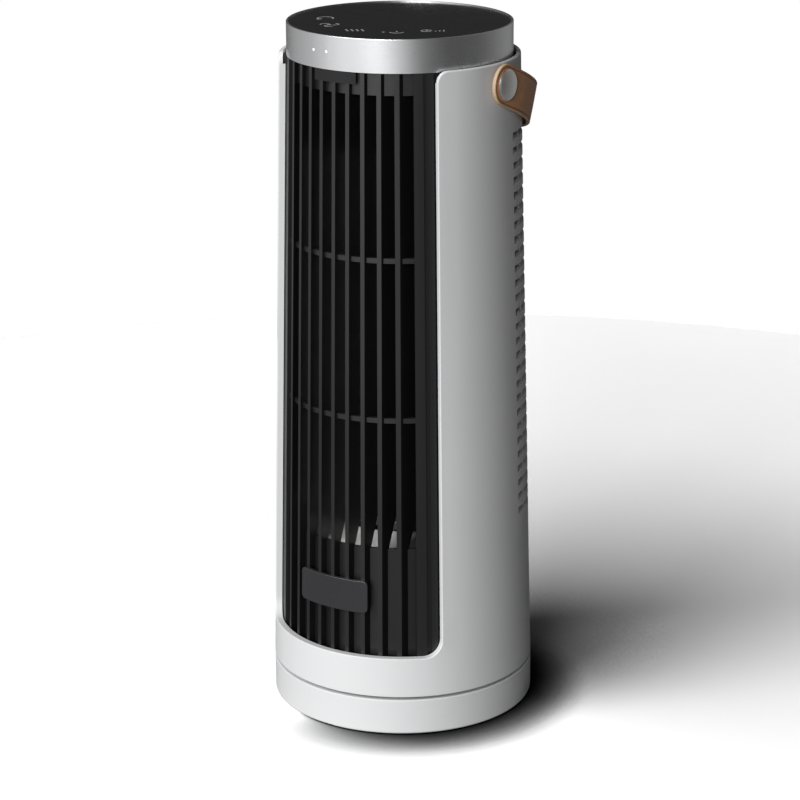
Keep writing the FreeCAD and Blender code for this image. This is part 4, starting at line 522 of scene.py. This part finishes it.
# ================================================================ marks on the touch panel
PANEL_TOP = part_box("control_panel")[1].z
INK_WIDTH = 1.1 * MM
INK_RISE = 0.06 * MM
INK_TAPER = 1.5
INK_BLUNT = 0.05
RIDGE_POINTS = 7
MARK_TURN = math.radians(33)
MARK_SIZE = 1.25


def stroke(path):
    """A line of ink: a low rounded ridge carried along a flat path, tapered at both ends over a point or two."""
    path = np.asarray(path, float)
    step = np.gradient(path, axis=0)
    step /= np.linalg.norm(step, axis=1)[:, None]
    beside = np.stack([-step[:, 1], step[:, 0]], -1)
    turn = np.linspace(0, math.pi, RIDGE_POINTS)
    share = np.linspace(0, 1, len(path))
    swell = np.minimum(1, np.minimum(share, 1 - share) * len(path) / INK_TAPER + INK_BLUNT)[:, None]
    offset = np.cos(turn)[None] * INK_WIDTH / 2 * swell
    height = np.sin(turn)[None] * INK_RISE * swell
    flat = path[:, None, :] + beside[:, None, :] * offset[..., None]
    points = np.concatenate([flat, height[..., None] + PANEL_TOP], -1)
    faces = loop_faces(len(path), RIDGE_POINTS)[:, ::-1].tolist()
    last = (len(path) - 1) * RIDGE_POINTS
    faces += [list(range(RIDGE_POINTS))[::-1], [last + i for i in range(RIDGE_POINTS)]]
    return points.reshape(-1, 3), faces


def arc(centre, radius, start, end, count=24):
    """Points on an arc; angles are in degrees from +x."""
    angle = np.radians(np.linspace(start, end, count))
    return np.stack([centre[0] + radius * np.cos(angle), centre[1] + radius * np.sin(angle)], -1)


def bar(first, second, count=6):
    """Points on a straight line."""
    share = np.linspace(0, 1, count)[:, None]
    return np.asarray(first) * (1 - share) + np.asarray(second) * share


def touch_mark(strokes, angle, radius):
    """Sets strokes, drawn in millimetres about a mark's own middle, over a touch pad; all marks face the same way."""
    cos, sin = math.cos(MARK_TURN), math.sin(MARK_TURN)
    place = np.array([math.sin(math.radians(angle)), -math.cos(math.radians(angle))]) * radius
    turn = MARK_SIZE * np.array([[cos, sin], [-sin, cos]])
    return [(line @ turn + place) * MM for line in strokes]


def ripple(x, low, high, swing=0.5):
    """An upright wavy line: one full wave of sideways swing from low to high."""
    share = np.linspace(0, 1, 20)
    return np.stack([x + swing * np.sin(2 * math.pi * share), low + (high - low) * share], -1)


SWING_MARK = [arc((0, 0), 3.7, 235, -35, 34), bar((-2.1, -3.0), (-4.3, -2.6)), bar((-2.1, -3.0), (-1.9, -0.9))]
BLADE_REACH = 2.6
FAN_MARK = [arc((0, 0), 0.8, 0, 350, 14)] + [
    arc((BLADE_REACH * math.cos(a), BLADE_REACH * math.sin(a)), 2.0, math.degrees(a) - 150, math.degrees(a) + 60, 22)
    for a in (0.5, 2.6, 4.7)]
HEAT_MARK = [ripple(x, -2.6, 2.6) for x in (-3.6, -1.2, 1.2, 3.6)]
POWER_MARK = [arc((-4.2, 0), 0.45, 0, 340, 10), arc((1.8, 0.6), 3.3, 195, 345, 26), bar((1.8, -0.4), (1.8, 2.8))]
TIMER_MARK = [arc((-3.2, 0), 2.3, 0, 345, 26), bar((-3.2, 0), (-3.2, 1.3)), bar((-3.2, 0), (-2.2, -0.3)),
              bar((1.0, -2.0), (1.0, 0.0)), bar((2.9, -2.0), (2.9, 1.1)), bar((4.8, -2.0), (4.8, 2.2))]
marks = (touch_mark(SWING_MARK, -66.7, 44.4) + touch_mark(FAN_MARK, -36.5, 43.0) + touch_mark(HEAT_MARK, -3.8, 41.5)
         + touch_mark(POWER_MARK, 28.8, 39.3) + touch_mark(TIMER_MARK, 63.1, 40.4))


def touch_marks():
    """All strokes as one piece of printed ink on the panel."""
    points, faces, count = [], [], 0
    for line in marks:
        made, cells = stroke(line)
        points.append(made)
        faces += [[corner + count for corner in cell] for cell in cells]
        count += len(made)
    ink = finish("printed_ink", printed_ink)
    surface("touch_marks", np.concatenate(points), faces, ink, "tower")


touch_marks()


# ================================================================ studio
VIEW_TURN = math.radians(34.6)
CAMERA_PLACE = (0.9038, -1.3101, 0.6941)
CAMERA_PITCH = math.radians(-17.69)
CAMERA_ROLL = math.radians(-0.29)
FLOOR_RINGS = (0, 0.05, 0.1, 0.2, 0.4, 0.6, 0.85)
FLOOR_SPOKES = 96
FLOOR_SEEN = 1.75
FLOOR_THROWN = 0.30
# the floor's two shades: how far each feels for the heater, the side that it lies on, the cosines of the angles from
# there at which it begins and is full, and how deep it gets
CONTACT_REACH = 0.038
CONTACT_TURN = VIEW_TURN + math.radians(44)
CONTACT_SPREAD = (-0.15, 0.85)
CONTACT_DEPTH = 8.0
SHADE_REACH = 0.45
SHADE_TURN = VIEW_TURN + math.radians(132)
SHADE_SPREAD = (0.2, 0.95)
SHADE_DEPTH = 5.0
EVEN_LIGHT = 0.03
TOWER_MIDDLE = 0.2
LAMP_DISTANCE = 2.0
KEY_TURN = VIEW_TURN - math.radians(54)
KEY_HEIGHT = math.radians(36)
FRONT_TURN = VIEW_TURN - math.radians(22)
FRONT_HEIGHT = math.radians(17)
# what a reflection meets, by the direction it goes: degrees to the right of the camera, and how bright it is
ROOM = ((-180, 0.05), (-160, 0.12), (-135, 0.36), (-95, 0.52), (-60, 0.94), (-22, 0.68), (4, 0.45), (22, 0.14),
        (48, 0.07), (90, 0.11), (130, 0.26), (150, 0.26), (165, 0.08), (180, 0.05))


def studio_camera():
    """Long lens at the height of a standing viewer, looking slightly down."""
    lens = bpy.data.cameras.new("studio_camera")
    lens.lens = 123.2
    lens.sensor_width = 36.0
    lens.shift_x = -0.0021
    lens.clip_end = 50
    seen = bpy.data.objects.new("studio_camera", lens)
    seen.location = CAMERA_PLACE
    turn = Euler((0, 0, VIEW_TURN)).to_matrix() @ Euler((math.pi / 2 + CAMERA_PITCH, 0, 0)).to_matrix()
    seen.rotation_euler = (turn @ Euler((0, 0, CAMERA_ROLL)).to_matrix()).to_euler()
    bpy.context.scene.collection.objects.link(seen)
    bpy.context.scene.camera = seen


def sun(name, turn, height, energy, angle, gloss):
    """A broad sun that looks at the middle of the tower; turn is counted from the front, towards +x."""
    light = bpy.data.lights.new(name, "SUN")
    light.energy = energy
    light.angle = angle
    light.specular_factor = gloss
    place = Vector((math.sin(turn) * math.cos(height), -math.cos(turn) * math.cos(height), math.sin(height)))
    stand = bpy.data.objects.new(name, light)
    stand.location = place * LAMP_DISTANCE + Vector((0, 0, TOWER_MIDDLE))
    stand.rotation_euler = place.to_track_quat("Z", "Y").to_euler()
    bpy.context.scene.collection.objects.link(stand)


def pale_floor():
    """A round floor in rings that widen outwards. Seen directly it is paler than it is for the light that it throws
    back, so that it meets the white behind it, and it keeps the heater's shadow. Two shades deepen it where the heater
    hides the air: a narrow dark one beside the base at the front right, and a wide soft one at the back right."""
    turn = np.linspace(0, 2 * math.pi, FLOOR_SPOKES + 1)[:-1]
    points = np.stack([np.outer(FLOOR_RINGS, np.cos(turn)), np.outer(FLOOR_RINGS, np.sin(turn)),
                       np.zeros((len(FLOOR_RINGS), FLOOR_SPOKES))], -1)
    mesh = bpy.data.meshes.new("floor")
    mesh.from_pydata(points.reshape(-1, 3), [], loop_faces(len(FLOOR_RINGS), FLOOR_SPOKES)[:, ::-1])
    material = bpy.data.materials.new("pale_floor")
    material.use_nodes = True
    g = Graph(material.node_tree)
    seen = g.node("LightPath").beside("Is Camera Ray")
    x = g.spot()
    y = x.beside("Y")
    distance = (x * x + y * y) ** 0.5

    def side(heading, spread):
        """From 0 to 1 as a point comes round to the side of the tower that the heading gives."""
        return g.spread((x * math.sin(heading) - y * math.cos(heading)) / distance, *spread)

    contact_air = g.node("AmbientOcclusion", {"samples": 12}, {"Distance": CONTACT_REACH}).beside("AO")
    wide_air = g.node("AmbientOcclusion", {"samples": 8}, {"Distance": SHADE_REACH}).beside("AO")
    contact = contact_air ** (side(CONTACT_TURN, CONTACT_SPREAD) * CONTACT_DEPTH)
    wide = wide_air ** (side(SHADE_TURN, SHADE_SPREAD) ** 2 * SHADE_DEPTH)
    pale = g.mixed(contact * wide, (0.0, 0.0, 0.0), (FLOOR_SEEN,) * 3)
    diffuse = g.node("BsdfDiffuse", {}, {"Color": g.mixed(seen, (FLOOR_THROWN,) * 3, pale)})
    g.node("OutputMaterial", {}, {"Surface": diffuse})
    mesh.materials.append(material)
    ground = bpy.data.objects.new("floor", mesh)
    bpy.context.scene.collection.objects.link(ground)


def studio_air():
    """White behind everything that is seen directly. Reflections show that white at the front left, where the soft
    boxes stand, and the dim room round the rest; everything else gets a low even light."""
    world = bpy.data.worlds.new("studio_air")
    bpy.context.scene.world = world
    world.use_nodes = True
    g = Graph(world.node_tree)
    east = g.node("SeparateXYZ", {}, {"Vector": g.node("TexCoord")})
    north = east.beside("Y")
    cos, sin = math.cos(VIEW_TURN), math.sin(VIEW_TURN)
    right = east * cos + north * sin
    near = east * sin - north * cos
    turn = g.maths("ARCTAN2", right, near) / (2 * math.pi) + 0.5
    room = g.node("ValToRGB", {"stops": [((angle + 180) / 360, (glow,) * 3) for angle, glow in ROOM]}, {0: turn})
    rays = g.node("LightPath")
    direct = rays.beside("Is Camera Ray") + rays.beside("Is Transmission Ray")
    mirrored = rays.beside("Is Glossy Ray")
    even = (1 - direct - mirrored).clipped() * EVEN_LIGHT
    white = g.node("Background", {}, {"Color": (1, 1, 1), "Strength": direct + even})
    box = g.node("Background", {}, {"Color": room, "Strength": mirrored})
    both = g.node("AddShader", {}, {0: white, 1: box})
    g.node("OutputWorld", {}, {"Surface": both})


studio_camera()
pale_floor()
studio_air()
sun("key", KEY_TURN, KEY_HEIGHT, energy=2.0, angle=math.radians(38), gloss=0.2)
sun("front", FRONT_TURN, FRONT_HEIGHT, energy=1.85, angle=math.radians(32), gloss=0.1)
bpy.context.scene.view_settings.view_transform = "Standard"
